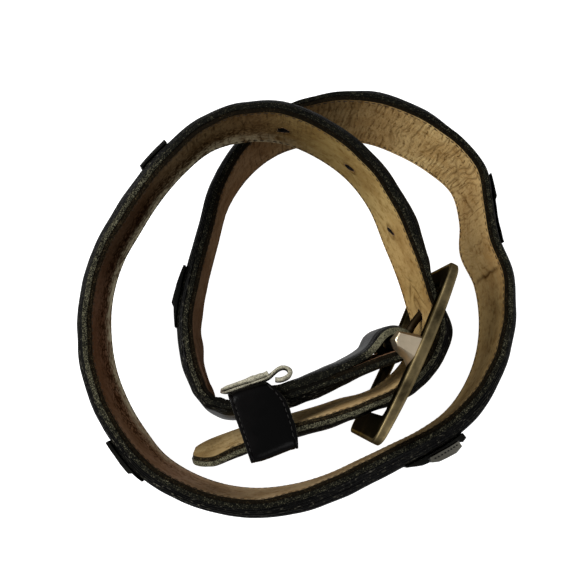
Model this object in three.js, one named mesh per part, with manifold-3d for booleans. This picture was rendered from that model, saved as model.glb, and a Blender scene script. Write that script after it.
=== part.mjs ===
// A buckled western belt, coiled one and three quarter times and standing on its lower edge.
// Millimetres and degrees, +Z up. The black leather faces out of the coil, the tan lining in.
import * as THREE from 'three';
import { mergeVertices } from 'three/addons/utils/BufferGeometryUtils.js';
import Module from 'manifold-3d';

const wasm = await Module();
wasm.setup();

// Driving dimensions
const GAP = 0.3;
const STRAP = { width: 32, edge: 1.5, shoulder: 5.5, tip: 9 };
const LINING = { thick: 1.1, inset: 0.4, start: 1.5, end: 0.8 };
const HOLES = { first: 100.3, spacing: 25.4, count: 4, radius: 1.9 };
const BUCKLE = {
  x: 35.4, y: -24.25, z: 23.25, heading: 65, lean: 4,
  length: 59.6, height: 46, corner: 3.6,
  front: { middle: 3.6, ends: 1.8 }, back: { middle: 0.2, ends: -0.8 },
  windowLength: 44, windowHeight: 35, windowCorner: 2.5, windowAside: 1,
};
const BAR = { t: 1.6, n: -4.2, radius: 2, reach: 18.5 };
const PRONG = {
  ringInner: 2.35, ringOuter: 4.9, ringHeight: 2.6,
  channel: 0.35, slotRadius: 5.6, slotHeight: 4.4,
};
const KEEPER = { x: -9.2, y: -41.6, heading: 19, width: 16.6, wall: 1.4, corner: 1.8, low: 1.4 };
const TAB = { thick: 1, low: 14, high: 34.5 };
const OVERLAY = { low: 5, high: 28, bevel: 0.5 };
const STEP = { turn: 7, run: 9, least: 0.6, detail: 16 };
// The middle of the finished outline, which becomes the origin
const MIDDLE = { x: 3.16, y: -5.81 };

// The strap's line is where the lining meets the black leather, at the lower edge.
// thick is the black leather over its padded middle.

// The turned-back end, measured back from the fold along the layer that it lies on
const TURNED_BACK = [
  { back: 41.5, apart: 1.9, thick: 1.5 },
  { back: 36, apart: 1.9, thick: 1.8 },
  { back: 29, apart: 1.9, thick: 2.2 },
  { back: 22, apart: 1.9, thick: 2.3 },
  { back: 15.5, apart: 2, thick: 2.1 },
  { back: 11, apart: 2.5, thick: 2 },
  { back: 7, apart: 3.5, thick: 2.1 },
];

// The fold round the centre bar: turn is the angle from +t toward +n
const FOLD = [
  { turn: -100, reach: 4.9, thick: 2.3 },
  { turn: -70, reach: 3.7, thick: 2.3 },
  { turn: -35, reach: 2.9, thick: 2.4 },
  { turn: 0, reach: 2.75, thick: 2.4 },
  { turn: 35, reach: 2.75, thick: 2.5 },
  { turn: 70, reach: 2.9, thick: 2.5 },
  { turn: 105, reach: 3.2, thick: 2.5 },
  { turn: 138, reach: 3.5, thick: 2.5 },
];

// The coil from the fold to the buckle. A positive lean puts the top edge outward.
const COIL = [
  { x: 26.8, y: -25.8, lift: 7, lean: 3, thick: 2.4 },
  { x: 20.9, y: -28.1, lift: 6, lean: 3, thick: 2.5 },
  { x: 14.9, y: -30.9, lift: 4.7, lean: 2, thick: 3.2 },
  { x: 7.4, y: -34.4, lift: 3.3, lean: 0.5, thick: 4.1 },
  { x: 1.3, y: -37.4, lift: 2.6, lean: -1.5, thick: 4.1 },
  { x: -6, y: -40.4, lift: 2.2, lean: -4, thick: 3.6 },
  { x: -13, y: -42.8, lift: 2.2, lean: -6.5, thick: 3.2 },
  { x: -18.8, y: -43.9, lift: 2, lean: -6.3, thick: 3 },
  { x: -23.5, y: -43.2, lift: 1.2, lean: -7, thick: 3 },
  { x: -27.3, y: -40.3, lift: 0.7, lean: -5, thick: 3.2 },
  { x: -29.4, y: -35.4, lift: 0.4, lean: -2.6, thick: 3.5 },
  { x: -32.1, y: -26.5, lift: 0.15, lean: -1.8, thick: 4 },
  { x: -33.4, y: -14, lift: 0.05, lean: -1.5, thick: 4.1 },
  { x: -31.6, y: -1, lift: 0, lean: -2, thick: 4.3 },
  { x: -27.7, y: 16, lift: 0, lean: -2.4, thick: 4.1 },
  { x: -23.5, y: 31.5, lift: 0, lean: -2, thick: 4 },
  { x: -15, y: 44, lift: 0, lean: 0, thick: 3.8 },
  { x: -5.3, y: 51.4, lift: 0, lean: 3, thick: 3.5 },
  { x: 5, y: 55, lift: 0, lean: 5.5, thick: 3.4 },
  { x: 17, y: 57, lift: 0, lean: 6.2, thick: 4.2 },
  { x: 29.4, y: 55.8, lift: 0, lean: 6.2, thick: 5.2 },
  { x: 41, y: 51.2, lift: 0, lean: 6.2, thick: 4.9 },
  { x: 51.15, y: 45.15, lift: 0, lean: 4.8, thick: 3.9 },
  { x: 60.4, y: 36.5, lift: 0, lean: 2.5, thick: 3.4 },
  { x: 63.3, y: 24.8, lift: 0, lean: 1.1, thick: 3.2 },
  { x: 63.1, y: 12.9, lift: 0, lean: 4, thick: 3.7 },
  { x: 67.7, y: 1.9, lift: 0, lean: 2.5, thick: 3.8 },
  { x: 69.2, y: -10.4, lift: 0, lean: 0, thick: 3.9 },
  { x: 67.8, y: -22.6, lift: 0, lean: -2, thick: 4 },
  { x: 63.35, y: -34.15, lift: 0, lean: -3.9, thick: 4.5 },
  { x: 56.1, y: -44, lift: 0, lean: -5.4, thick: 5.2 },
  { x: 46.3, y: -51, lift: 0, lean: -5, thick: 5.3 },
  { x: 35, y: -56.5, lift: 0, lean: -5, thick: 5.7 },
  { x: 24.4, y: -61.4, lift: 0, lean: -4.5, thick: 5.9 },
  { x: 13.1, y: -66.4, lift: 0, lean: -4, thick: 5.9 },
  { x: 1.8, y: -69.6, lift: 0, lean: -2.5, thick: 5.7 },
  { x: -10.6, y: -71, lift: 0, lean: -0.5, thick: 4.9 },
  { x: -22.4, y: -69.8, lift: 0, lean: -0.5, thick: 4.7 },
  { x: -34.2, y: -65.8, lift: 0.1, lean: -0.5, thick: 4.7 },
  { x: -44.5, y: -59.3, lift: 0.3, lean: 0, thick: 4.7 },
  { x: -51.6, y: -50.5, lift: 1.5, lean: 1, thick: 4.5 },
  { x: -57, y: -41.3, lift: 3.5, lean: 1, thick: 4.4 },
  { x: -61.3, y: -29.8, lift: 6.5, lean: -0.3, thick: 4.3 },
  { x: -62.9, y: -17.2, lift: 10, lean: -2, thick: 4.2 },
  { x: -61.9, y: -5.3, lift: 14, lean: -3.5, thick: 3.9 },
  { x: -58, y: 6.7, lift: 17.5, lean: -4.3, thick: 3.8 },
  { x: -51.6, y: 17, lift: 21, lean: -5.2, thick: 4.1 },
  { x: -44.6, y: 26.5, lift: 25, lean: -6.2, thick: 3.9 },
  { x: -36.2, y: 35.3, lift: 28.5, lean: -7, thick: 3.6 },
  { x: -26.1, y: 42.3, lift: 32, lean: -7, thick: 3.4 },
  { x: -14.2, y: 45.2, lift: 33, lean: -5, thick: 3.5 },
  { x: -2, y: 44.6, lift: 32.4, lean: -3.5, thick: 3.8 },
  { x: 10, y: 40.7, lift: 28.5, lean: -2.9, thick: 3.8 },
  { x: 20.05, y: 34.1, lift: 25, lean: -2.3, thick: 4 },
  { x: 27.85, y: 25, lift: 20.5, lean: -0.2, thick: 4.1 },
  { x: 33.4, y: 13.35, lift: 15.4, lean: 2.8, thick: 4.9 },
];

// Through the buckle and out over its centre bar. rise is above the buckle's middle.
const THROUGH = [
  { t: 27, n: -9, rise: 2.8, thick: 3.8 },
  { t: 22.3, n: -4, rise: 1.1, thick: 2.5 },
  { t: 18.6, n: -0.7, rise: 0.8, thick: 2.5 },
  { t: 16.4, n: 1.6, rise: 0.6, thick: 3.5 },
  { t: 9.9, n: 5.8, rise: 0.3, thick: 5.2 },
  { t: 3.5, n: 6.6, rise: 0, thick: 4.9 },
  { t: -2.7, n: 5.7, rise: 0, thick: 4.6 },
  { t: -7.9, n: 3.8, rise: 0, thick: 4.3 },
  { t: -13.2, n: 0.9, rise: 0, thick: 3.6 },
  { t: -17.8, n: -3.2, rise: 0, thick: 3 },
];

// The free end, through the keeper to the tip
const FREE_END = [
  { x: 17.6, y: -40, lift: 5.5, lean: 5, thick: 3.2 },
  { x: 10.7, y: -42.3, lift: 4.2, lean: 5, thick: 3.6 },
  { x: 2.9, y: -44.6, lift: 3.2, lean: 4.5, thick: 3.6 },
  { x: -7, y: -47.4, lift: 2.8, lean: 4, thick: 3.5 },
  { x: -17.4, y: -50.3, lift: 2.8, lean: 7.5, thick: 3 },
  { x: -25, y: -52.9, lift: 3.5, lean: 8.8, thick: 2.6 },
  { x: -32.6, y: -55, lift: 4, lean: 7.8, thick: 1.4 },
];

// Overlays on the black face. tip is the way back from the tip, and from and to stand off the face.
const OVERLAYS = {
  overlay_upper_left: [
    { tip: 224.4, from: GAP, to: 1.2 },
    { tip: 213.9, from: GAP, to: 1.4 },
  ],
  overlay_inner_left: [
    { tip: 669.4, from: GAP, to: 0.6 },
    { tip: 663.6, from: GAP, to: 1.4 },
    { tip: 662.4, from: GAP, to: 2.2 },
    { tip: 656.4, from: GAP, to: 1.9 },
    { tip: 649.9, from: GAP, to: 1 },
  ],
  overlay_right: [
    { tip: 517.4, from: 0.45, to: 0.8 },
    { tip: 512.4, from: 0.45, to: 1.2 },
    { tip: 510.6, from: 0.45, to: 1.4 },
    { tip: 509.4, from: 0.45, to: 0.8 },
    { tip: 502.4, from: 0.45, to: 0.8 },
    { tip: 498.4, from: 0.45, to: 0.95 },
    { tip: 493.4, from: 0.45, to: 0.8 },
  ],
  overlay_lower_right: [
    { tip: 430.6, from: GAP, to: 2.1 },
    { tip: 429, from: GAP, to: 2.5 },
    { tip: 428.4, from: GAP, to: 1.1 },
    { tip: 417.8, from: GAP, to: 0.75 },
    { tip: 417.4, from: GAP, to: 2.4 },
    { tip: 415.1, from: GAP, to: 2.2 },
    { tip: 411.3, from: GAP, to: 0.9 },
    { tip: 410.2, from: GAP, to: 0.6 },
  ],
  overlay_pale_panel: [
    { tip: 428.1, from: 1.45, to: 3.3 },
    { tip: 425.6, from: 1.4, to: 4 },
    { tip: 422.8, from: 1.3, to: 3.8 },
    { tip: 420.1, from: 1.2, to: 3.6 },
    { tip: 418.2, from: 1.15, to: 2.8 },
  ],
  overlay_lower_left: [
    { tip: 327.4, from: GAP, to: 0.6 },
    { tip: 324, from: GAP, to: 0.8 },
    { tip: 323.4, from: GAP, to: 1.7 },
    { tip: 312.4, from: GAP, to: 1.4 },
  ],
};

// The prong from the bar to its tip on the front of the frame
const PRONG_ROWS = [
  { t: 1.6, n: -0.5, radius: 1.2 },
  { t: 6, n: -0.1, radius: 1.25 },
  { t: 11, n: 0.4, radius: 1.3 },
  { t: 16, n: 1.7, radius: 1.3 },
  { t: 20.5, n: 3.95, radius: 1.25 },
  { t: 24.5, n: 4.05, radius: 1.2 },
  { t: 28.8, n: 3.25, radius: 1 },
];

// A lug's outline where it meets the bar and at its outer end
const LUG_ROWS = [
  { foot: { t: 6, n: 0.5 }, head: { t: 4.6, n: 0.5 } },
  { foot: { t: 4, n: -6.8 }, head: { t: 3.2, n: -6.7 } },
  { foot: { t: 0.6, n: -7.6 }, head: { t: 0.7, n: -6.9 } },
  { foot: { t: -1.6, n: -5.6 }, head: { t: -0.6, n: -5.7 } },
  { foot: { t: -3.2, n: -1.5 }, head: { t: -1.1, n: -2.5 } },
  { foot: { t: -5.2, n: 0.5 }, head: { t: -1.5, n: 0.5 } },
];
const LUG = { foot: 17.4, head: 22.4 };

// The keeper's inner corners: across is outward from the coil, measured from the strap's line
const KEEPER_CORNERS = [
  { across: -4.3, height: KEEPER.low },
  { across: 11.2, height: KEEPER.low },
  { across: 13.7, height: 35.5 },
  { across: -6, height: 35.5 },
];

// The keeper's turned strip, from its frayed end round two folds to its curled end
const TAB_ROWS = [
  { along: 5.4, across: -9.4 },
  { along: -1, across: -9.4 },
  { along: -8.4, across: -9.4 },
  { along: -9.6, across: -9.2 },
  { along: -10, across: -8.75 },
  { along: -9.6, across: -8.3 },
  { along: -8.4, across: -8.15 },
  { along: -1, across: -8.15 },
  { along: 4.6, across: -8.2 },
  { along: 6.9, across: -9.1 },
  { along: 8.9, across: -9.8 },
  { along: 10.8, across: -9.7 },
  { along: 12, across: -8.6 },
  { along: 12.1, across: -7.4 },
  { along: 11.2, across: -6.6 },
  { along: 9.7, across: -6.3 },
  { along: 8.2, across: -6.4 },
  { along: 6.9, across: -6.9 },
];

const radians = THREE.MathUtils.degToRad;
const vector = (x, y, z) => new THREE.Vector3(x, y, z);
const UP = vector(0, 0, 1);

// The buckle's own frame: x along it (t), y into the coil (minus n), z along its centre bar
const buckleGroup = new THREE.Group();
buckleGroup.position.set(BUCKLE.x, BUCKLE.y, BUCKLE.z);
buckleGroup.rotation.set(radians(BUCKLE.lean), 0, radians(BUCKLE.heading), 'ZXY');
buckleGroup.updateMatrix();
const buckleUp = UP.clone().transformDirection(buckleGroup.matrix);
const buckleSpot = (t, n, w) => vector(t, -n, w).applyMatrix4(buckleGroup.matrix);

// Rows become places along the strap: a point, the direction of its width and its thickness
function coilPlaces(rows) {
  return rows.map((row, i) => {
    const before = rows[Math.max(i - 1, 0)];
    const after = rows[Math.min(i + 1, rows.length - 1)];
    const outward = vector(before.y - after.y, after.x - before.x, 0).normalize();
    const lean = radians(row.lean);
    const up = outward.multiplyScalar(Math.sin(lean)).addScaledVector(UP, Math.cos(lean));
    const sunk = Math.max(0, STRAP.edge * Math.sin(lean));
    return { point: vector(row.x, row.y, row.lift + sunk), up, thick: row.thick };
  });
}

function bucklePlaces(rows) {
  return rows.map(({ t, n, rise = 0, thick }) => ({
    point: buckleSpot(t, n, rise - STRAP.width / 2),
    up: buckleUp.clone(),
    thick,
  }));
}

const foldRows = FOLD.map(({ turn, reach, thick }) => ({
  t: BAR.t + reach * Math.cos(radians(turn)),
  n: BAR.n + reach * Math.sin(radians(turn)),
  thick,
}));

// A smooth line through the places, with the strap's own directions at any distance along it
class StrapPath {
  constructor(places) {
    const curve = new THREE.CatmullRomCurve3(places.map((place) => place.point), false, 'centripetal');
    const spans = places.length - 1;
    this.samples = [];
    for (let i = 0; i <= spans * STEP.detail; i += 1) {
      const span = Math.min(Math.floor(i / STEP.detail), spans - 1);
      const part = THREE.MathUtils.smoothstep(i / STEP.detail - span, 0, 1);
      const [start, end] = [places[span], places[span + 1]];
      const point = curve.getPoint(i / (spans * STEP.detail));
      const last = this.samples.at(-1);
      this.samples.push({
        point,
        up: start.up.clone().lerp(end.up, part).normalize(),
        thick: THREE.MathUtils.lerp(start.thick, end.thick, part),
        distance: last ? last.distance + last.point.distanceTo(point) : 0,
      });
    }
    this.length = this.samples.at(-1).distance;
  }

  heading(index) {
    const i = Math.max(index, 0);
    const before = this.samples[Math.max(i - 1, 0)].point;
    const after = this.samples[Math.min(i + 1, this.samples.length - 1)].point;
    return after.clone().sub(before).normalize();
  }

  at(distance) {
    const last = this.samples.length - 1;
    const found = this.samples.findIndex((sample) => sample.distance > distance);
    const after = found < 1 ? (found === 0 ? 1 : last) : found;
    const [a, b] = [this.samples[after - 1], this.samples[after]];
    const part = (distance - a.distance) / (b.distance - a.distance);
    const point = a.point.clone().lerp(b.point, part);
    const up = a.up.clone().lerp(b.up, part).normalize();
    const along = this.heading(after - 1).lerp(this.heading(after), part).normalize();
    const out = up.clone().cross(along).normalize();
    return { point, up, along, out, thick: THREE.MathUtils.lerp(a.thick, b.thick, part) };
  }

  // Distances at which the faceted sweeps have a section, the same for every layer
  stops() {
    const list = [0];
    let turned = 0;
    this.samples.forEach((sample, i) => {
      turned += this.heading(i).angleTo(this.heading(i - 1));
      const run = sample.distance - list.at(-1);
      const due = turned > radians(STEP.turn) || run > STEP.run;
      if (!due || run < STEP.least) return;
      list.push(sample.distance);
      turned = 0;
    });
    return list;
  }
}

const bodyPlaces = [
  ...bucklePlaces(foldRows.slice(-1)),
  ...coilPlaces(COIL),
  ...bucklePlaces(THROUGH),
  ...coilPlaces(FREE_END),
];
const body = new StrapPath(bodyPlaces);
const turnedBackPlaces = TURNED_BACK.map(({ back, apart, thick }) => {
  const beside = body.at(back);
  return { point: beside.point.addScaledVector(beside.out, -apart), up: beside.up, thick };
});
const foldPlaces = bucklePlaces(foldRows.slice(0, -1));
const strapPath = new StrapPath([...turnedBackPlaces, ...foldPlaces, ...bodyPlaces]);
const foldEnd = strapPath.length - body.length;
const strapStops = strapPath.stops();

// A closed solid through rings of points that all have the same outline
function loft(rings, outline) {
  const count = outline.length;
  const corners = rings.flat();
  const triangles = [];
  for (let r = 0; r < rings.length - 1; r += 1) {
    for (let i = 0; i < count; i += 1) {
      const a = r * count + i;
      const b = r * count + ((i + 1) % count);
      triangles.push([a, b, b + count], [a, b + count, a + count]);
    }
  }
  const end = (rings.length - 1) * count;
  const { area, triangulateShape } = THREE.ShapeUtils;
  for (const corner of triangulateShape(outline, [])) {
    const agrees = area(corner.map((i) => outline[i])) * area(outline) > 0;
    const [a, b, c] = agrees ? corner : corner.toReversed();
    triangles.push([a, c, b], [end + a, end + b, end + c]);
  }
  const volume = triangles.reduce((sum, [a, b, c]) => (
    sum + corners[a].dot(corners[b].clone().cross(corners[c]))
  ), 0);
  const order = volume > 0 ? triangles : triangles.map(([a, b, c]) => [a, c, b]);
  const geometry = new THREE.BufferGeometry();
  const values = corners.flatMap((p) => p.toArray());
  geometry.setAttribute('position', new THREE.Float32BufferAttribute(values, 3));
  geometry.setIndex(order.flat());
  return geometry;
}

// Cuts and joins
function toSolid(geometry) {
  const bare = new THREE.BufferGeometry();
  bare.setAttribute('position', geometry.getAttribute('position').clone());
  if (geometry.index) bare.setIndex(geometry.index.clone());
  const merged = mergeVertices(bare);
  return new wasm.Manifold(new wasm.Mesh({
    numProp: 3,
    vertProperties: new Float32Array(merged.getAttribute('position').array),
    triVerts: new Uint32Array(merged.index.array),
  }));
}

function toGeometry(solid) {
  const mesh = solid.getMesh();
  const geometry = new THREE.BufferGeometry();
  geometry.setAttribute('position', new THREE.BufferAttribute(mesh.vertProperties, 3));
  geometry.setIndex(new THREE.BufferAttribute(mesh.triVerts, 1));
  return geometry;
}

const placed = (geometry, group) => geometry.clone().applyMatrix4(group.matrix);

// The black leather's outline across the strap: d out from its flesh side, h up from its lower edge
function leatherOutline(thick) {
  const { edge, shoulder, width } = STRAP;
  const raised = thick - edge;
  return [
    [0, 0],
    [edge, 0],
    [edge + raised * 0.4, shoulder * 0.3],
    [edge + raised * 0.85, shoulder * 0.65],
    [thick, shoulder],
    [thick, width - shoulder],
    [edge + raised * 0.85, width - shoulder * 0.65],
    [edge + raised * 0.4, width - shoulder * 0.3],
    [edge, width],
    [0, width],
  ].map(([d, h]) => new THREE.Vector2(d, h));
}

function liningOutline() {
  const { thick, inset } = LINING;
  return [
    [-GAP, STRAP.width - inset],
    [-GAP, inset],
    [-GAP - thick, inset],
    [-GAP - thick, STRAP.width - inset],
  ].map(([d, h]) => new THREE.Vector2(d, h));
}

// How much of the strap's width is left near its rounded tip
function tipWidth(left) {
  if (left >= STRAP.tip) return 1;
  return Math.sqrt(1 - (1 - left / STRAP.tip) ** 2);
}

function sweep(outlineAt, from, to, end) {
  const tipStops = [6, 3.5, 1.8, 0.8].map((left) => end - left);
  const stops = [from, ...[...strapStops, ...tipStops].filter((stop) => stop > from && stop < to), to];
  const distances = stops.sort((a, b) => a - b);
  const middle = STRAP.width / 2;
  const rings = distances.map((distance) => {
    const { point, up, out, thick } = strapPath.at(distance);
    const width = tipWidth(end - distance);
    return outlineAt(thick).map(({ x, y }) => (
      point.clone().addScaledVector(out, x).addScaledVector(up, middle + (y - middle) * width)
    ));
  });
  return loft(rings, outlineAt(STRAP.edge * 2));
}

const TIP_BLUNT = 0.25;

// What passes through the strap: punched holes, the slot at the fold and the prong's way
function punch(distance) {
  const { point, up, out } = strapPath.at(distance);
  const reach = 12;
  const tool = new THREE.CylinderGeometry(HOLES.radius, HOLES.radius, reach, 12);
  const middle = point.addScaledVector(up, STRAP.width / 2);
  const turn = new THREE.Quaternion().setFromUnitVectors(vector(0, 1, 0), out);
  return tool.applyMatrix4(new THREE.Matrix4().compose(middle, turn, vector(1, 1, 1)));
}

function prongRod(grow, from, to) {
  const sides = 8;
  const rows = PRONG_ROWS.filter((row) => row.t >= from && row.t <= to);
  const rings = rows.map((row, i) => {
    const before = rows[Math.max(i - 1, 0)];
    const after = rows[Math.min(i + 1, rows.length - 1)];
    const slope = Math.atan2(after.n - before.n, after.t - before.t);
    return Array.from({ length: sides }, (_, k) => {
      const turn = ((k + 0.5) / sides) * 2 * Math.PI;
      const aside = (row.radius + grow) * Math.cos(turn);
      const t = row.t - aside * Math.sin(slope);
      const n = row.n + aside * Math.cos(slope);
      return vector(t, -n, (row.radius + grow) * Math.sin(turn));
    });
  });
  const outline = rings[0].map((p) => new THREE.Vector2(p.y, p.z));
  return loft(rings, outline);
}

function foldSlot() {
  const tool = new THREE.CylinderGeometry(PRONG.slotRadius, PRONG.slotRadius, PRONG.slotHeight, 20);
  return tool.rotateX(Math.PI / 2).translate(BAR.t, -BAR.n, 0);
}

function pierced(geometry) {
  const tip = strapPath.length;
  const free = HOLES.count - 1;
  const punches = Array.from({ length: free }, (_, i) => punch(tip - HOLES.first - HOLES.spacing * (i + 1)));
  const channel = placed(prongRod(PRONG.channel, 11, 24.5), buckleGroup);
  const tools = [...punches, placed(foldSlot(), buckleGroup), channel];
  return toGeometry(tools.reduce((solid, tool) => solid.subtract(toSolid(tool)), toSolid(geometry)));
}

function strapGeometry() {
  const end = strapPath.length;
  return pierced(sweep(leatherOutline, 0, end - TIP_BLUNT, end));
}

function liningGeometry() {
  const end = strapPath.length - LINING.end;
  return pierced(sweep(liningOutline, foldEnd + LINING.start, end - TIP_BLUNT, end));
}

// The buckle
function roundedRectangle(width, height, radius, into) {
  const [x, y] = [width / 2, height / 2];
  const corners = [
    { cx: x - radius, cy: y - radius, start: 0 },
    { cx: radius - x, cy: y - radius, start: 90 },
    { cx: radius - x, cy: radius - y, start: 180 },
    { cx: x - radius, cy: radius - y, start: 270 },
  ];
  const points = corners.flatMap(({ cx, cy, start }) => [0, 22.5, 45, 67.5, 90].map((turn) => {
    const angle = radians(start + turn);
    return new THREE.Vector2(cx + radius * Math.cos(angle), cy + radius * Math.sin(angle));
  }));
  return into.setFromPoints(points);
}

function frameGeometry() {
  const { length, height, corner, front, back } = BUCKLE;
  const { windowLength, windowHeight, windowCorner, windowAside } = BUCKLE;
  const outline = roundedRectangle(length, height, corner, new THREE.Shape());
  const window = roundedRectangle(windowLength, windowHeight, windowCorner, new THREE.Shape()).getPoints();
  const aside = new THREE.Vector2(windowAside, 0);
  outline.holes.push(new THREE.Path(window.map((point) => point.add(aside))));
  const deep = front.middle - back.ends + 2;
  const plate = new THREE.ExtrudeGeometry(outline, { depth: deep, bevelEnabled: false });
  plate.applyMatrix4(new THREE.Matrix4().makeBasis(vector(1, 0, 0), vector(0, 0, 1), vector(0, -1, 0)));
  plate.translate(0, 1 - back.ends, 0);

  const bowSteps = 12;
  const bow = ({ middle, ends }) => Array.from({ length: bowSteps + 1 }, (_, i) => {
    const t = length * (i / bowSteps - 0.5);
    return new THREE.Vector2(t, middle - (middle - ends) * (t / (length / 2)) ** 2);
  });
  const side = new THREE.Shape([...bow(back), ...bow(front).reverse()]);
  const bowed = new THREE.ExtrudeGeometry(side, { depth: height, bevelEnabled: false });
  bowed.applyMatrix4(new THREE.Matrix4().makeBasis(vector(1, 0, 0), vector(0, -1, 0), vector(0, 0, -1)));
  bowed.translate(0, 0, height / 2);

  const bar = new THREE.CylinderGeometry(BAR.radius, BAR.radius, 2 * BAR.reach, 14);
  bar.rotateX(Math.PI / 2).translate(BAR.t, -BAR.n, 0);
  const outlineOf = (end) => LUG_ROWS.map((row) => new THREE.Vector2(row[end].t, -row[end].n));
  const lug = (side) => loft(['foot', 'head'].map((end) => (
    outlineOf(end).map(({ x, y }) => vector(x, y, side * LUG[end]))
  )), outlineOf('foot'));
  const frame = toSolid(plate).intersect(toSolid(bowed));
  return toGeometry([bar, lug(1), lug(-1)].reduce((solid, part) => solid.add(toSolid(part)), frame));
}

function prongGeometry() {
  const ring = new THREE.Shape().absarc(0, 0, PRONG.ringOuter, 0, 2 * Math.PI);
  ring.holes.push(new THREE.Path().absarc(0, 0, PRONG.ringInner, 0, 2 * Math.PI, true));
  const settings = { depth: PRONG.ringHeight, bevelEnabled: false, curveSegments: 9 };
  const loop = new THREE.ExtrudeGeometry(ring, settings);
  loop.translate(BAR.t, -BAR.n, -PRONG.ringHeight / 2);
  return toGeometry(toSolid(loop).add(toSolid(prongRod(0, 0, BUCKLE.length))));
}

// The keeper's frame: x along the strap, y into the coil (minus across)
const keeperGroup = new THREE.Group();
keeperGroup.position.set(KEEPER.x, KEEPER.y, 0);
keeperGroup.rotation.z = radians(KEEPER.heading);

function movedOut(corners, distance) {
  const edges = corners.map((corner, i) => {
    const next = corners[(i + 1) % corners.length];
    const along = next.clone().sub(corner).normalize();
    const outward = new THREE.Vector2(along.y, -along.x);
    return { along, start: corner.clone().addScaledVector(outward, distance) };
  });
  return edges.map((edge, i) => {
    const last = edges.at(i - 1);
    const step = edge.start.clone().sub(last.start).cross(edge.along) / last.along.cross(edge.along);
    return last.start.clone().addScaledVector(last.along, step);
  });
}

function roundedCorners(corners, radius) {
  return corners.flatMap((corner, i) => {
    const neighbours = [corners.at(i - 1), corners[(i + 1) % corners.length]];
    const [start, end] = neighbours.map((other) => (
      corner.clone().addScaledVector(other.clone().sub(corner).normalize(), radius)
    ));
    return new THREE.QuadraticBezierCurve(start, corner, end).getPoints(4);
  });
}

function keeperGeometry() {
  const inner = KEEPER_CORNERS.map(({ across, height }) => new THREE.Vector2(across, height));
  const band = new THREE.Shape(roundedCorners(movedOut(inner, KEEPER.wall), KEEPER.corner + KEEPER.wall));
  band.holes.push(new THREE.Path(roundedCorners(inner, KEEPER.corner)));
  const loop = new THREE.ExtrudeGeometry(band, { depth: KEEPER.width, bevelEnabled: false });
  loop.applyMatrix4(new THREE.Matrix4().makeBasis(vector(0, -1, 0), vector(0, 0, 1), vector(-1, 0, 0)));
  loop.translate(KEEPER.width / 2, 0, 0);

  // The band's cut corner, beside the curled end of its strip
  const cut = [[4, 7.5], [9, 7.5], [9, 3.4], [8, 3.4]].map(([x, y]) => new THREE.Vector2(x, y));
  const tool = new THREE.ExtrudeGeometry(new THREE.Shape(cut), { depth: 40, bevelEnabled: false });
  return toGeometry(toSolid(loop).subtract(toSolid(tool)));
}

function tabGeometry() {
  const line = new THREE.SplineCurve(TAB_ROWS.map(({ along, across }) => new THREE.Vector2(along, -across)));
  const steps = TAB_ROWS.length * 3;
  const half = TAB.thick / 2;
  const outline = [[-half, TAB.low], [half, TAB.low], [half, TAB.high], [-half, TAB.high]];
  const rings = Array.from({ length: steps + 1 }, (_, i) => {
    const middle = line.getPoint(i / steps);
    const way = line.getTangent(i / steps);
    return outline.map(([aside, height]) => (
      vector(middle.x - way.y * aside, middle.y + way.x * aside, height)
    ));
  });
  return loft(rings, outline.map(([x, y]) => new THREE.Vector2(x, y)));
}

function overlayGeometry(rows) {
  const { low, high, bevel } = OVERLAY;
  const pace = 3;
  const stops = rows.slice(0, -1).flatMap((row, i) => {
    const next = rows[i + 1];
    const parts = Math.max(1, Math.round((row.tip - next.tip) / pace));
    return Array.from({ length: parts }, (_, k) => {
      const part = k / parts;
      const mix = (key) => THREE.MathUtils.lerp(row[key], next[key], part);
      return { tip: mix('tip'), from: mix('from'), to: mix('to') };
    });
  });
  const outlineOf = ({ from, to }) => [[from, high], [to, high - bevel], [to, low + bevel], [from, low]];
  const rings = [...stops, rows.at(-1)].map((stop) => {
    const { point, up, out, thick } = strapPath.at(strapPath.length - stop.tip);
    return outlineOf(stop).map(([d, h]) => (
      point.clone().addScaledVector(out, thick + d).addScaledVector(up, h)
    ));
  });
  return loft(rings, outlineOf(rows[0]).map(([x, y]) => new THREE.Vector2(x, y)));
}

// Finishes
function finish(color, roughness, metalness = 0) {
  return new THREE.MeshStandardMaterial({ color, roughness, metalness });
}

const blackLeather = () => finish(0x1c1b19, 0.5);
const tanLining = () => finish(0xa98a5f, 0.75);
const agedBrass = () => finish(0x6f6650, 0.35, 0.9);
const paleLeather = () => finish(0xb5b1a4, 0.7);

function piece(name, geometry, material) {
  const flat = geometry.index ? geometry.toNonIndexed() : geometry;
  flat.computeVertexNormals();
  const mesh = new THREE.Mesh(flat, material);
  mesh.name = name;
  return mesh;
}

const belt = new THREE.Group();
belt.position.set(-MIDDLE.x, -MIDDLE.y, 0);
belt.add(piece('strap_leather', strapGeometry(), blackLeather()));
belt.add(piece('strap_lining', liningGeometry(), tanLining()));
buckleGroup.add(piece('buckle_frame', frameGeometry(), agedBrass()));
buckleGroup.add(piece('buckle_prong', prongGeometry(), agedBrass()));
keeperGroup.add(piece('keeper_band', keeperGeometry(), blackLeather()));
keeperGroup.add(piece('keeper_strip', tabGeometry(), paleLeather()));
belt.add(buckleGroup, keeperGroup);
for (const [name, rows] of Object.entries(OVERLAYS)) {
  const material = name === 'overlay_pale_panel' ? paleLeather() : blackLeather();
  belt.add(piece(name, overlayGeometry(rows), material));
}

export default belt;
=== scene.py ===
"""The looks of a buckled western belt that stands coiled on its edge.

Tables and sizes are in millimetres and degrees. Meshes are made in metres at the end.
"""
import math
from functools import partial
from types import SimpleNamespace

import bmesh
import bpy
import numpy as np
from mathutils import Matrix, Vector


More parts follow.
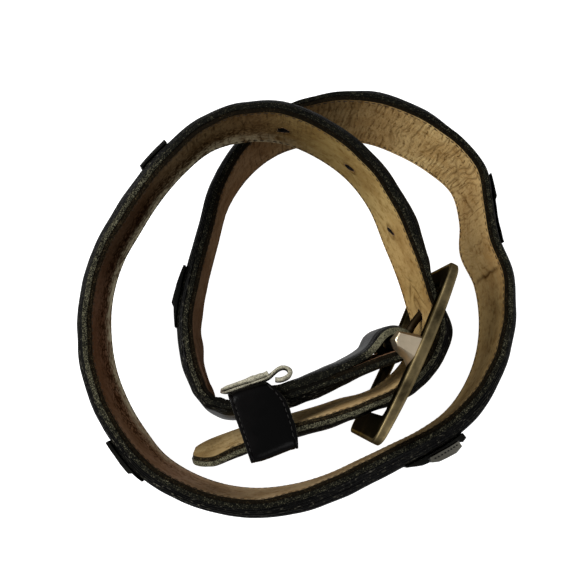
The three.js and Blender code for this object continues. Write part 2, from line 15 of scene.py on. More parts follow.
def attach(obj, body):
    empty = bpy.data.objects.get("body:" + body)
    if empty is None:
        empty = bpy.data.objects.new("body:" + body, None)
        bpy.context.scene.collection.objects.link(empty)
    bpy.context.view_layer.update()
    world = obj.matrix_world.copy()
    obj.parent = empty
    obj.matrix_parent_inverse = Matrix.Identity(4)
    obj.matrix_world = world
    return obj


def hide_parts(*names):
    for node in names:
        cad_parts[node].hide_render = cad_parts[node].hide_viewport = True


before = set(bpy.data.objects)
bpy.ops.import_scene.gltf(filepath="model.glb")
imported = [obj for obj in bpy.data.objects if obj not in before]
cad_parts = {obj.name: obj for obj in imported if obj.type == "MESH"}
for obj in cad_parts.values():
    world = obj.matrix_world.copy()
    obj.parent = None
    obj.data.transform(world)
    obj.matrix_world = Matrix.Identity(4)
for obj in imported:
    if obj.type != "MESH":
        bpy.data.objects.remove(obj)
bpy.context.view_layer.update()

MM = 0.001
STRAP_WIDTH = 32
# The leather's thickness at its raw edges, how wide its shoulders are, how long its round tip is
EDGE = 1.5
SHOULDER = 5.5
TIP = 9
LINING = SimpleNamespace(gap=0.3, glue=0.04, thick=1.1, inset=0.4, start=1.5, end=0.8)
HOLES = SimpleNamespace(first=100.3, spacing=25.4, count=4, radius=1.9)
BUCKLE = SimpleNamespace(
    x=35.4, y=-24.25, z=23.25, heading=65, lean=4, length=59.6, height=46, corner=3.6,
    window_length=44, window_height=35, window_corner=2.5, window_aside=1,
)
# How far the plate's two bowed faces stand out, in the middle and at the ends
FRONT = SimpleNamespace(middle=3.6, ends=1.8)
BACK = SimpleNamespace(middle=0.2, ends=-0.8)
BAR = SimpleNamespace(t=1.6, n=-4.2, radius=2, reach=18.5)
# The prong's channel is cut from where it enters the strap to where it leaves it
PRONG = SimpleNamespace(channel=0.35, enters=11, leaves=24.5, slot_radius=5.6, slot_height=4.4)
KEEPER = SimpleNamespace(x=-9.2, y=-41.6, heading=19, width=16.6, wall=1.4, corner=1.8, low=1.4)
STRIP = SimpleNamespace(thick=1, low=14, high=34.5)
OVERLAY = SimpleNamespace(low=5, high=28)
# The place in the tables that becomes the frame's own middle
MIDDLE = SimpleNamespace(x=3.16, y=-5.81)
# How many points the strap's line has from one row of its tables to the next
SAMPLES_PER_ROW = 13


def rows(names, *values):
    """A short table: each row's values under the named columns."""
    return [SimpleNamespace(**dict(zip(names.split(), row))) for row in values]


def columns(table, names):
    """The named columns of a table, each as an array."""
    return [np.array([getattr(row, name) for row in table], float) for name in names.split()]


def follow(table, name, at):
    """A column's value at any distance along the strap, also between two rows."""
    distance, values = columns(table, "distance " + name)
    return np.interp(at, distance, values)


# The turned-back end, measured back from the fold along the layer that it lies on
TURNED_BACK = rows(
    "back apart thick",
    (41.5, 1.9, 1.5), (36, 1.9, 1.8), (29, 1.9, 2.2), (22, 1.9, 2.3), (15.5, 2, 2.1), (11, 2.5, 2),
    (7, 3.5, 2.1),
)
# The fold round the centre bar
FOLD = rows(
    "turn reach thick",
    (-100, 4.9, 2.3), (-70, 3.7, 2.3), (-35, 2.9, 2.4), (0, 2.75, 2.4), (35, 2.75, 2.5),
    (70, 2.9, 2.5), (105, 3.2, 2.5), (138, 3.5, 2.5),
)
# The coil from the fold to the buckle; a positive lean puts the top edge outward
COIL = rows(
    "x y lift lean thick",
    (26.8, -25.8, 7, 3, 2.4), (20.9, -28.1, 6, 3, 2.5), (14.9, -30.9, 4.7, 2, 3.2),
    (7.4, -34.4, 3.3, 0.5, 4.1), (1.3, -37.4, 2.6, -1.5, 4.1), (-6, -40.4, 2.2, -4, 3.6),
    (-13, -42.8, 2.2, -6.5, 3.2), (-18.8, -43.9, 2, -6.3, 3), (-23.5, -43.2, 1.2, -7, 3),
    (-27.3, -40.3, 0.7, -5, 3.2), (-29.4, -35.4, 0.4, -2.6, 3.5), (-32.1, -26.5, 0.15, -1.8, 4),
    (-33.4, -14, 0.05, -1.5, 4.1), (-31.6, -1, 0, -2, 4.3), (-27.7, 16, 0, -2.4, 4.1),
    (-23.5, 31.5, 0, -2, 4), (-15, 44, 0, 0, 3.8), (-5.3, 51.4, 0, 3, 3.5), (5, 55, 0, 5.5, 3.4),
    (17, 57, 0, 6.2, 4.2), (29.4, 55.8, 0, 6.2, 5.2), (41, 51.2, 0, 6.2, 4.9),
    (51.15, 45.15, 0, 4.8, 3.9), (60.4, 36.5, 0, 2.5, 3.4), (63.3, 24.8, 0, 1.1, 3.2),
    (63.1, 12.9, 0, 4, 3.7), (67.7, 1.9, 0, 2.5, 3.8), (69.2, -10.4, 0, 0, 3.9),
    (67.8, -22.6, 0, -2, 4), (63.35, -34.15, 0, -3.9, 4.5), (56.1, -44, 0, -5.4, 5.2),
    (46.3, -51, 0, -5, 5.3), (35, -56.5, 0, -5, 5.7), (24.4, -61.4, 0, -4.5, 5.9),
    (13.1, -66.4, 0, -4, 5.9), (1.8, -69.6, 0, -2.5, 5.7), (-10.6, -71, 0, -0.5, 4.9),
    (-22.4, -69.8, 0, -0.5, 4.7), (-34.2, -65.8, 0.1, -0.5, 4.7), (-44.5, -59.3, 0.3, 0, 4.7),
    (-51.6, -50.5, 1.5, 1, 4.5), (-57, -41.3, 3.5, 1, 4.4), (-61.3, -29.8, 6.5, -0.3, 4.3),
    (-62.9, -17.2, 10, -2, 4.2), (-61.9, -5.3, 14, -3.5, 3.9), (-58, 6.7, 17.5, -4.3, 3.8),
    (-51.6, 17, 21, -5.2, 4.1), (-44.6, 26.5, 25, -6.2, 3.9), (-36.2, 35.3, 28.5, -7, 3.6),
    (-26.1, 42.3, 32, -7, 3.4), (-14.2, 45.2, 33, -5, 3.5), (-2, 44.6, 32.4, -3.5, 3.8),
    (10, 40.7, 28.5, -2.9, 3.8), (20.05, 34.1, 25, -2.3, 4), (27.85, 25, 20.5, -0.2, 4.1),
    (33.4, 13.35, 15.4, 2.8, 4.9),
)
# Through the buckle and out over its centre bar; rise is above the buckle's middle
THROUGH = rows(
    "t n rise thick",
    (27, -9, 2.8, 3.8), (22.3, -4, 1.1, 2.5), (18.6, -0.7, 0.8, 2.5), (16.4, 1.6, 0.6, 3.5),
    (9.9, 5.8, 0.3, 5.2), (3.5, 6.6, 0, 4.9), (-2.7, 5.7, 0, 4.6), (-7.9, 3.8, 0, 4.3),
    (-13.2, 0.9, 0, 3.6), (-17.8, -3.2, 0, 3),
)
# The free end, through the keeper to the tip
FREE_END = rows(
    "x y lift lean thick",
    (17.6, -40, 5.5, 5, 3.2), (10.7, -42.3, 4.2, 5, 3.6), (2.9, -44.6, 3.2, 4.5, 3.6),
    (-7, -47.4, 2.8, 4, 3.5), (-17.4, -50.3, 2.8, 7.5, 3), (-25, -52.9, 3.5, 8.8, 2.6),
    (-32.6, -55, 4, 7.8, 1.4),
)
# Overlays on the black face: tip is the way back from the tip, base and top stand off the face
OVERLAYS = {
    "overlay_upper_left": ((224.4, 0.3, 1.2), (213.9, 0.3, 1.4)),
    "overlay_inner_left": (
        (669.4, 0.3, 0.6), (663.6, 0.3, 1.4), (662.4, 0.3, 2.2), (656.4, 0.3, 1.9),
        (649.9, 0.3, 1),
    ),
    "overlay_right": (
        (517.4, 0.45, 0.8), (512.4, 0.45, 1.2), (510.6, 0.45, 1.4), (509.4, 0.45, 0.8),
        (502.4, 0.45, 0.8), (498.4, 0.45, 0.95), (493.4, 0.45, 0.8),
    ),
    "overlay_lower_right": (
        (430.6, 0.3, 2.1), (429, 0.3, 2.5), (428.4, 0.3, 1.1), (417.8, 0.3, 0.75),
        (417.4, 0.3, 2.4), (415.1, 0.3, 2.2), (411.3, 0.3, 0.9), (410.2, 0.3, 0.6),
    ),
    "overlay_pale_panel": (
        (428.1, 1.45, 3.3), (425.6, 1.4, 4), (422.8, 1.3, 3.8), (420.1, 1.2, 3.6),
        (418.2, 1.15, 2.8),
    ),
    "overlay_lower_left": (
        (327.4, 0.3, 0.6), (324, 0.3, 0.8), (323.4, 0.3, 1.7), (312.4, 0.3, 1.4),
    ),
}
# The prong's middle line from the bar to its tip
PRONG_ROWS = rows(
    "t n radius",
    (1.6, -0.5, 1.2), (6, -0.1, 1.25), (11, 0.4, 1.3), (16, 1.7, 1.3), (20.5, 3.95, 1.25),
    (24.5, 4.05, 1.2), (28.8, 3.25, 1),
)
# A lug's outline at its foot beside the bar and at its head in the rim
LUG_ROWS = rows(
    "foot_t foot_n head_t head_n",
    (6, 0.5, 4.6, 0.5), (4, -6.8, 3.2, -6.7), (0.6, -7.6, 0.7, -6.9), (-1.6, -5.6, -0.6, -5.7),
    (-3.2, -1.5, -1.1, -2.5), (-5.2, 0.5, -1.5, 0.5),
)
LUG = SimpleNamespace(foot=17.4, head=22.4)
# The inside of the keeper's band, before its corners are rounded
KEEPER_CORNERS = rows(
    "across height", (-4.3, KEEPER.low), (11.2, KEEPER.low), (13.7, 35.5), (-6, 35.5)
)
# The keeper's turned strip, from its frayed end round two folds to its curled end
STRIP_ROWS = rows(
    "along across",
    (5.4, -9.4), (-1, -9.4), (-8.4, -9.4), (-9.6, -9.2), (-10, -8.75), (-9.6, -8.3),
    (-8.4, -8.15), (-1, -8.15), (4.6, -8.2), (6.9, -9.1), (8.9, -9.8), (10.8, -9.7),
    (12, -8.6), (12.1, -7.4), (11.2, -6.6), (9.7, -6.3), (8.2, -6.4), (6.9, -6.9),
)


# The strap's line through space


def unit(vectors):
    return vectors / np.linalg.norm(vectors, axis=-1, keepdims=True)


def smooth(x):
    x = np.clip(x, 0, 1)
    return x * x * (3 - 2 * x)


def fade(value, low, high):
    """0 below low and 1 above high, smoothly."""
    return smooth((value - low) / (high - low))


def buckle_matrix():
    turn = Matrix.Rotation(math.radians(BUCKLE.heading), 4, "Z")
    lean = Matrix.Rotation(math.radians(BUCKLE.lean), 4, "X")
    return Matrix.Translation((BUCKLE.x, BUCKLE.y, BUCKLE.z)) @ turn @ lean


BUCKLE_MATRIX = np.array(buckle_matrix())


def buckle_spot(t, n, w):
    """A point in the buckle's own directions: t along it, n outward through it, w up its bar."""
    local = np.stack(np.broadcast_arrays(t, -np.asarray(n), w), -1).astype(float)
    return local @ BUCKLE_MATRIX[:3, :3].T + BUCKLE_MATRIX[:3, 3]


def round_bar(reach, turn):
    """The buckle's t and n at a reach from its bar, turned by radians round it."""
    return BAR.t + reach * np.cos(turn), BAR.n + reach * np.sin(turn)


def coil_places(table):
    """The rows as points, the directions that are up on the strap there, and thicknesses."""
    x, y, lift, lean, thick = columns(table, "x y lift lean thick")
    points = np.stack((x, y), 1)
    padded = np.vstack((points[:1], points, points[-1:]))
    step = unit(padded[2:] - padded[:-2])
    lean = np.radians(lean)
    up = np.stack((-step[:, 1] * np.sin(lean), step[:, 0] * np.sin(lean), np.cos(lean)), 1)
    height = lift + np.maximum(0, EDGE * np.sin(lean))
    return np.column_stack((points, height)), up, thick


def buckle_places(table):
    t, n, rise, thick = columns(table, "t n rise thick")
    up = np.tile(BUCKLE_MATRIX[:3, 2], (len(table), 1))
    return buckle_spot(t, n, rise - STRAP_WIDTH / 2), up, thick


def joined(*places):
    return tuple(np.concatenate(parts) for parts in zip(*places))


def catmull(points, count):
    """Centripetal Catmull-Rom through the points, with count steps between two of them."""
    ends = 2 * points[0] - points[1], 2 * points[-1] - points[-2]
    line = np.vstack((ends[0], points, ends[1]))
    pieces = []
    for i in range(len(points) - 1):
        a, b, c, d = line[i:i + 4]
        da, db, dc = (np.linalg.norm(q - p) ** 0.5 for p, q in ((a, b), (b, c), (c, d)))
        leave = ((b - a) / da - (c - a) / (da + db) + (c - b) / db) * db
        arrive = ((c - b) / db - (d - b) / (db + dc) + (d - c) / dc) * db
        w = (np.arange(count) / count)[:, None]
        cubic = (2 * b - 2 * c + leave + arrive) * w ** 3
        square = (3 * c - 3 * b - 2 * leave - arrive) * w ** 2
        pieces.append(b + leave * w + square + cubic)
    return np.vstack((*pieces, points[-1:]))


class StrapLine:
    """Where the lining meets the leather at the lower edge, with the strap's own directions."""

    def __init__(self, places):
        points, up, thick = places
        self.point = catmull(points, SAMPLES_PER_ROW)
        place = np.arange(len(self.point)) / SAMPLES_PER_ROW
        row = np.minimum(place.astype(int), len(points) - 2)
        part = smooth(place - row)
        self.up = unit(up[row] * (1 - part[:, None]) + up[row + 1] * part[:, None])
        self.thick = thick[row] * (1 - part) + thick[row + 1] * part
        steps = np.linalg.norm(np.diff(self.point, axis=0), axis=1)
        self.distance = np.concatenate(([0], np.cumsum(steps)))
        self.length = self.distance[-1]
        self.along = unit(np.gradient(self.point, axis=0))
        self.out = unit(np.cross(self.up, self.along))

    def at(self, distance):
        """The same facts at any distances along the line."""
        def pick(values):
            if values.ndim == 1:
                return np.interp(distance, self.distance, values)
            return np.stack([np.interp(distance, self.distance, v) for v in values.T], -1)
        return SimpleNamespace(
            distance=np.asarray(distance, float), point=pick(self.point), up=unit(pick(self.up)),
            out=unit(pick(self.out)), along=unit(pick(self.along)), thick=pick(self.thick),
        )


def strap_line():
    """The whole line, and how far along it the turned-back end gives way to the fold."""
    turn, reach, thick = columns(FOLD, "turn reach thick")
    t, n = round_bar(reach, np.radians(turn))
    fold = rows("t n rise thick", *zip(t, n, 0 * t, thick))
    body_places = joined(
        buckle_places(fold[-1:]), coil_places(COIL), buckle_places(THROUGH), coil_places(FREE_END)
    )
    body = StrapLine(body_places)
    back, apart, thick = columns(TURNED_BACK, "back apart thick")
    beside = body.at(back)
    back_places = beside.point - beside.out * apart[:, None], beside.up, thick
    whole = StrapLine(joined(back_places, buckle_places(fold[:-1]), body_places))
    return whole, whole.length - body.length


LINE, FOLD_END = strap_line()
TIP_AT = LINE.length


def place(stations, d, h):
    """Points at d outward and h up from the strap's line, a row of them for each station."""
    return (
        stations.point[:, None]
        + stations.out[:, None] * d[..., None]
        + stations.up[:, None] * h[..., None]
    )


# Unevenness


def lattice(x, y, seed):
    """Smooth noise from -1 to 1 with one bump to each unit of x and y."""
    size = 61
    grid = np.random.default_rng(seed).uniform(-1, 1, (size, size))
    xi, yi = np.floor(x).astype(int), np.floor(y).astype(int)
    u, v = smooth(x - xi), smooth(y - yi)

    def between(row):
        return grid[xi % size, row % size] * (1 - u) + grid[(xi + 1) % size, row % size] * u
    return between(yi) * (1 - v) + between(yi + 1) * v


def bump(value, centre, reach):
    """1 at the centre, falling away within reach."""
    return np.exp(-((value - centre) / reach) ** 2)


# Meshes


def paint(mesh, title, values):
    """Gives each point of the mesh a number for its material to read."""
    layer = mesh.attributes.new(title, "FLOAT", "POINT")
    layer.data.foreach_set("value", np.asarray(values, np.float32).ravel())


def put(name, data):
    """A new object of the data, in the scene."""
    thing = bpy.data.objects.new(name, data)
    bpy.context.scene.collection.objects.link(thing)
    return thing


def make_object(name, vertices, faces, attributes=None, sharp=50):
    mesh = bpy.data.meshes.new(name)
    shift = np.array((MIDDLE.x, MIDDLE.y, 0))
    mesh.from_pydata(((vertices - shift) * MM).tolist(), [], faces)
    for title, values in (attributes or {}).items():
        paint(mesh, title, values)
    mesh.validate()
    mesh.shade_smooth()
    mesh.set_sharp_from_angle(angle=math.radians(sharp))
    return put(name, mesh)


def skin(grid, closed=False):
    """Vertices and faces over rings of points, capped at both ends unless the rings close up."""
    rings, around = grid.shape[:2]
    faces = []
    for r in range(rings if closed else rings - 1):
        a, b = r * around, (r + 1) % rings * around
        faces += [
            (a + i, b + i, b + (i + 1) % around, a + (i + 1) % around) for i in range(around)
        ]
    if not closed:
        end = (rings - 1) * around
        faces.append(tuple(range(around)))
        faces.append(tuple(end + i for i in reversed(range(around))))
    return grid.reshape(-1, 3), faces


def sweep(name, grid, attributes=None, closed=False, sharp=50):
    """A skin as an object; each attribute has a number for every point, ring or place on a ring."""
    spread = {
        title: np.broadcast_to(values, grid.shape[:2])
        for title, values in (attributes or {}).items()
    }
    return make_object(name, *skin(grid, closed), spread, sharp)


def joined_mesh(name, parts, sharp=40):
    """One object from several lists of vertices and faces."""
    vertices, faces, start = [], [], 0
    for points, polygons in parts:
        vertices.append(points)
        faces.extend(tuple(start + i for i in polygon) for polygon in polygons)
        start += len(points)
    return make_object(name, np.vstack(vertices), faces, sharp=sharp)


def recalc_normals(thing):
    work = bmesh.new()
    work.from_mesh(thing.data)
    bmesh.ops.recalc_face_normals(work, faces=work.faces)
    work.to_mesh(thing.data)
    work.free()


def cut(thing, cutter, *materials):
    """Takes the cutter's shape out of the thing for good; cut faces get the second material."""
    for material in materials:
        thing.data.materials.append(material)
    modifier = thing.modifiers.new("cut", "BOOLEAN")
    modifier.operation = "DIFFERENCE"
    modifier.solver = "EXACT"
    modifier.object = cutter
    graph = bpy.context.evaluated_depsgraph_get()
    mesh = bpy.data.meshes.new_from_object(thing.evaluated_get(graph))
    thing.modifiers.clear()
    thing.data = mesh
    mesh.name = thing.name


def dress(thing, material, slot, *nodes):
    if not thing.data.materials:
        thing.data.materials.append(material)
    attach(thing, "root")
    if nodes:
        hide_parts(*nodes)


# The strap's black leather


def tip_share(left):
    """How much of the strap's width is left near its rounded tip."""
    x = np.clip(left / TIP, 0, 1)
    return np.sqrt(1 - (1 - x) ** 2)


HOLE_PLACES = [TIP_AT - HOLES.first - HOLES.spacing * i for i in range(HOLES.count)]


def hole_ring(s, h, reach):
    """1 on the lip of each hole, falling away within reach."""
    total = np.zeros(np.broadcast(s, h).shape)
    for at in HOLE_PLACES:
        r = np.hypot(s - at, h - STRAP_WIDTH / 2)
        total += bump(r, HOLES.radius + 0.4, reach)
    return total


# Tooled lines along the shoulder: how high they run and how deep they are
GROOVES = rows("h depth", (1.85, 0.2), (2.6, 0.26), (3.5, 0.2), (4.6, 0.14))
GROOVE_HALF = 0.18
# How strongly the tooled lines show along the strap
TOOLING = rows(
    "distance strength",
    (0, 1.6), (40, 1), (60, 1.5), (110, 1.7), (122, 0.8), (200, 1), (300, 0.6), (400, 0.7),
    (430, 1.1), (500, 1), (600, 0.9), (700, 0.7), (811, 0.4),
)


def half_section():
    """The leather's lower half: d as share of edge, share of the rise, h, raw edge and groove."""
    half = rows(
        "edge rise h raw sink",
        (0, 0, 0.12, 1, 0), (0.04, 0, 0.02, 1, 0), (0.25, 0, 0, 1, 0), (0.5, 0, 0, 1, 0),
        (0.72, 0, 0, 1, 0), (0.88, 0, 0.06, 1, 0), (0.96, 0, 0.18, 1, 0), (1, 0, 0.34, 0, 0),
        (1, 0, 0.6, 0, 0), (0.96, 0, 0.85, 0, 0), (0.93, 0, 1.05, 0, 0), (0.96, 0.02, 1.25, 0, 0),
    )
    foot = 0.9
    levels = [(h, 0) for h in (1.5, 2.25, 3.05, 4.1, SHOULDER, 7, 9, 11, 13, 15)]
    for groove in GROOVES:
        levels.append((groove.h, groove.depth))
        levels += [(groove.h + side * GROOVE_HALF, 0) for side in (-1, 1)]
    for h, sink in sorted(levels):
        rise = math.sin(math.pi / 2 * min(1, (h - foot) / (SHOULDER - foot)))
        half.append(SimpleNamespace(edge=1, rise=rise, h=h, raw=0, sink=sink))
    return half


def leather_section():
    lower = half_section()
    upper = [SimpleNamespace(**{**vars(row), "h": STRAP_WIDTH - row.h}) for row in reversed(lower)]
    flesh = rows("edge rise h raw sink", (0, 0, 24, 0, 0), (0, 0, 16, 0, 0), (0, 0, 8, 0, 0))
    return columns(lower + upper + flesh, "edge rise h raw sink")


def press_lines(d, h, sink, s):
    """The section with its tooled lines pressed in, square to the leather's face."""
    across, upward = np.gradient(d, axis=1), np.gradient(h)[None]
    length = np.hypot(across, upward) + 1e-6
    depth = sink * follow(TOOLING, "strength", s) * (1 + 0.35 * lattice(s / 5, h / 0.8, 8))
    return d - depth * upward / length, h + depth * across / length


# Extra rings near the rounded tip, measured back from it
TIP_RINGS = (4.5, 3.4, 2.4, 1.6, 1, 0.6)


def make_strap():
    keep = LINE.distance <= TIP_AT - 0.25
    near_tip = TIP_AT - np.array((*TIP_RINGS, 0.4))
    stations = LINE.at(np.unique(np.concatenate((LINE.distance[keep], near_tip))))
    s = stations.distance[:, None]
    edge, rise, h, raw, sink = leather_section()
    crown = 0.12 * np.sin(np.pi * np.clip(h / STRAP_WIDTH, 0, 1)) * (rise > 0.98)
    d = edge * EDGE + rise * (stations.thick[:, None] - EDGE) + crown
    d, height = press_lines(d, h, sink, s)
    face = rise > 0.5
    d = d + face * 0.05 * lattice(s / 7, h / 9, 3) + face * 0.03 * lattice(s / 2.2, h / 3.1, 4)
    d = d + (edge > 0.5) * 0.04 * lattice(s / 3.3, h / 2 + 7, 5)
    # The turned-back end is pressed onto the layer behind it, most of all near its own edge
    pressed = 1 - 0.55 * fade(s, FOLD_END - 6, FOLD_END) - 0.45 * fade(s, 14, 24)
    d = d - (edge < 0.5) * pressed
    fray = raw * (0.05 * lattice(s / 0.9, edge * 6, 6) + 0.06 * lattice(s / 3.1, edge * 3, 7))
    middle = STRAP_WIDTH / 2
    height = np.where(h > middle, height + fray, height - fray.clip(-1, 0))
    height = middle + (height - middle) * tip_share(TIP_AT - s)
    attributes = {
        "along": s,
        "height": height,
        "raw": raw,
        "flesh": (edge < 0.02) & (raw < 0.5),
        "wear": follow(WEAR, "pale", s),
        # Where pale streaks paint the shoulders' highlight lines, with some wear
        "shoulder": bump(np.minimum(height, STRAP_WIDTH - height), 2.4, 2.1) * (edge > 0.9),
    }
    return sweep("strap", place(stations, d, height), attributes)


# How pale the strap's raw edges are worn
WEAR = rows(
    "distance pale",
    (0, 0.1), (30, 0.2), (37, 1.6), (49, 1.5), (56, 0.3), (82, 0.25), (90, 0.05), (114, 0.1),
    (122, 0.7), (136, 0.6), (160, 0.3), (210, 0.2), (262, 0.15), (290, 0.4), (304, 0.5),
    (395, 0.5), (412, 0.35), (450, 0.3), (490, 0.4), (515, 0.95), (585, 0.8), (604, 0.12),
    (640, 0.2), (668, 0.3), (706, 0.55), (742, 1.1), (776, 1.1), (811, 1.3),
)


# The lining

SEAM = SimpleNamespace(low=2.1, high=30.6, pitch=2.2, width=0.3, start=12, end=14)
# How wrinkled the lining is along the strap, and how crackled its middle is
CREASING = rows(
    "distance wrinkled crackled",
    (50, 0.1, 0), (100, 0.1, 0), (125, 0.25, 0), (150, 0.2, 0), (205, 0.5, 0), (216, 0.9, 0),
    (290, 1, 0), (314, 0.6, 0), (330, 0.12, 0), (400, 0.1, 0), (440, 0.12, 0), (470, 0.25, 0.2),
    (500, 0.15, 0.8), (560, 0.25, 1), (590, 0.5, 1), (604, 0.9, 0.9), (624, 1, 0.5),
    (640, 0.6, 0.2), (652, 0.12, 0), (811, 0.04, 0),
)
# Single folds in the lining: where, how high, how they slant, how far they reach, how deep they are
FOLDS = rows(
    "distance height slant reach depth",
    (327, 17, -0.06, 13, 1), (112, 9, -0.3, 5, 0.8), (123, 12, 0.2, 5, 0.8),
    (133, 10, -0.4, 5, 0.9), (140, 8, 0.3, 5, 0.5), (606, 11, 0.6, 6, 0.8),
    (598, 9, -0.5, 5, 0.7), (612, 14, -0.8, 5, 0.5), (709, 20, 0.9, 4, 0.8),
    (708, 12, -0.9, 4, 0.8), (704, 16, 0.4, 3, 0.5), (664, 10, -0.8, 4, 0.5),
    (640, 9, 0.5, 4, 0.5), (386, 12, 0.2, 8, 0.45), (400, 9, -0.2, 6, 0.35),
    (430, 14, 0.3, 8, 0.3), (494, 20, 0.9, 7, 0.4), (524, 14, -0.8, 5, 0.5),
    (532, 12, 0.9, 5, 0.5), (300, 14, 0.9, 8, 0.7), (288, 18, -0.6, 6, 0.6),
    (276, 16, 0.3, 9, 0.6), (262, 12, -0.2, 7, 0.6), (246, 17, 0.2, 9, 0.7),
    (232, 15, -0.2, 9, 0.6), (222, 18, 0.3, 8, 0.6),
)
# Stretches of the lining with rings closer together, for their wrinkles
FINER = rows(
    "begin finish pace", (204, 336, 0.4), (500, 596, 0.7), (596, 646, 0.45), (680, 716, 0.6)
)


def crease_field(s, h):
    """0 on smooth lining and 1 in the bottom of a crease."""
    drift = 2.2 * lattice(s / 15, h / 9, 11) + 0.45 * lattice(s / 4, h / 4, 12)
    drift = drift + 0.12 * (STRAP_WIDTH / 2 - h)
    turn = (s + drift) / 1.8
    valley = 1 - np.abs(np.sin(np.pi * turn))
    patch = fade(lattice(turn * 0.8, h / 8, 15), -0.55, 0.55)
    field = 0.62 * fade(valley, 0.2, 1) * patch * follow(CREASING, "wrinkled", s)
    for row in FOLDS:
        line = row.distance + row.slant * (h - row.height) + 0.6 * lattice(h / 2.5, s * 0, 16)
        deep = row.depth * bump(s, line, 0.65) * bump(h, row.height, row.reach)
        field = np.maximum(field, deep)
    return field


def crackle_field(s, h):
    """Where the lining's middle is crackled on the far left turn, puckered along a wavy line."""
    line = 14 + 2 * lattice(s / 14, s * 0, 21)
    return follow(CREASING, "crackled", s) * bump(h, line, 7)


def lining_section():
    """The lining's outline: d, h, and 1 on its face."""
    low, high = LINING.inset, STRAP_WIDTH - LINING.inset
    back, front = -LINING.glue, -LINING.gap - LINING.thick
    side = ((back, 0), ((back + front) / 2, -0.02), (front + 0.3, 0.03), (front + 0.1, 0.14))
    face = low + 0.35 + (high - low - 0.7) * np.linspace(0, 1, 46)
    section = rows(
        "d h on_face",
        *((d, low + rounding, 0) for d, rounding in side),
        *((front, h, 1) for h in face),
        *((d, high - rounding, 0) for d, rounding in reversed(side)),
    )
    return columns(section, "d h on_face")


def lining_relief(s, h, crease, crackle):
    """How far the lining's face sinks, with its creases, puckers, holes and seams."""
    inside = fade(np.minimum(h, STRAP_WIDTH - h), LINING.inset, LINING.inset + 1.5)
    relief = 0.34 * crease + 0.34 * crackle * lattice(s / 1.6, h / 1.9, 22)
    relief = relief + 0.07 * lattice(s / 5, h / 6, 17) * inside
    relief = relief - 0.22 * hole_ring(s, h, 0.6)
    relief = relief + 0.025 * lattice(s / 0.9, h / 0.9, 18) * inside
    relief = relief + 0.09 * (bump(h, SEAM.low, 0.4) + bump(h, SEAM.high, 0.4))
    swelling = 0.9 * fade(s, 114, 124) * (1 - fade(s, 146, 164))
    swelling = swelling * (0.5 + 0.5 * lattice(s / 6, h / 14, 19))
    return np.clip(relief, -0.3, 0.55) - swelling, inside


def make_lining():
    start, end = FOLD_END + LINING.start, TIP_AT - LINING.end
    inner = LINE.distance[(LINE.distance > start) & (LINE.distance < end - 0.3)]
    near_tip = end - np.array((*TIP_RINGS, 0.3))
    finer = [np.arange(row.begin, row.finish, row.pace) for row in FINER]
    stations = LINE.at(np.unique(np.concatenate(([start], inner, near_tip, *finer))))
    s = stations.distance[:, None]
    d, h, on_face = lining_section()
    crease = crease_field(s, h[None]) * on_face
    crackle = crackle_field(s, h[None]) * on_face
    relief, inside = lining_relief(s, h[None], crease, crackle)
    middle = STRAP_WIDTH / 2
    height = middle + (h - middle) * tip_share(end + 0.25 - s)
    attributes = {
        "along": s,
        "height": height,
        "crease": np.clip(crease, 0, 1),
        "wrinkled": follow(CREASING, "wrinkled", s) * inside * on_face,
        "crackled": crackle,
        "wear": follow(WEAR, "pale", s),
        # Painted bounce light with some dust: the crackled stretch is paled low on the band, where
        # floor light falls
        "dusty": follow(CREASING, "crackled", s) * (1 - fade(h, 3, 14)) * on_face,
        "raw": 1 - on_face,
        # The lining's edge is made near-black from about 75 to 125 mm along the strap, round the
        # keeper
        "sooty": fade(s, 73, 78) * (1 - fade(s, 116, 130)),
        "hole": hole_ring(s, h[None], 0.9) * on_face,
    }
    return sweep("lining", place(stations, d + relief * on_face, height), attributes)


# How the lining's holes have torn, counted from the tip; the first is filled by the prong
TORN = rows(
    "long high slant rough",
    (1.9, 1.9, 0, 0), (1.9, 1.3, 1.1, 0.12), (1.9, 1.9, 0.7, 0.16), (2.1, 2.5, 0.2, 0.3),
)


def hole_tool(at, seed, torn=None):
    """A punch for one hole, a little out of round, or torn as the lining is."""
    shape = torn or SimpleNamespace(long=HOLES.radius, high=HOLES.radius, slant=0, rough=0.05)
    here = LINE.at([at])
    turn = full_turn(28)
    rough = 1 + shape.rough * lattice(turn * 1.3, turn * 0 + seed, 31)
    s = shape.long * rough * np.cos(turn)
    h = shape.high * rough * np.sin(turn) + shape.slant * s + STRAP_WIDTH / 2
    disc = here.point[0] + np.outer(s, here.along[0]) + np.outer(h, here.up[0])
    inner, outer = -4, 0.6 if torn else 9
    return np.array([disc + here.out[0] * d for d in (inner, outer)])


def full_turn(sides):
    return np.arange(sides) / sides * 2 * np.pi


def tube_rings(centres, radii, sides):
    """Rings round a line of centres in the buckle's t, n plane."""
    step = unit(np.gradient(centres, axis=0))
    turn = (np.arange(sides) + 0.5) / sides * 2 * np.pi
    rings = []
    for (t, n), (dt, dn), radius in zip(centres, step, radii):
        aside = radius * np.cos(turn)
        rings.append(buckle_spot(t - aside * dn, n + aside * dt, radius * np.sin(turn)))
    return np.array(rings)


def column_rings(radius, sides, levels):
    """Rings round the bar's own axis, one for each level."""
    t, n = round_bar(radius, full_turn(sides))
    return np.array([buckle_spot(t, n, w) for w in levels])


def prong_line(steps):
    line = catmull(np.stack(columns(PRONG_ROWS, "t n radius"), 1), steps)
    return line[:, :2], line[:, 2]


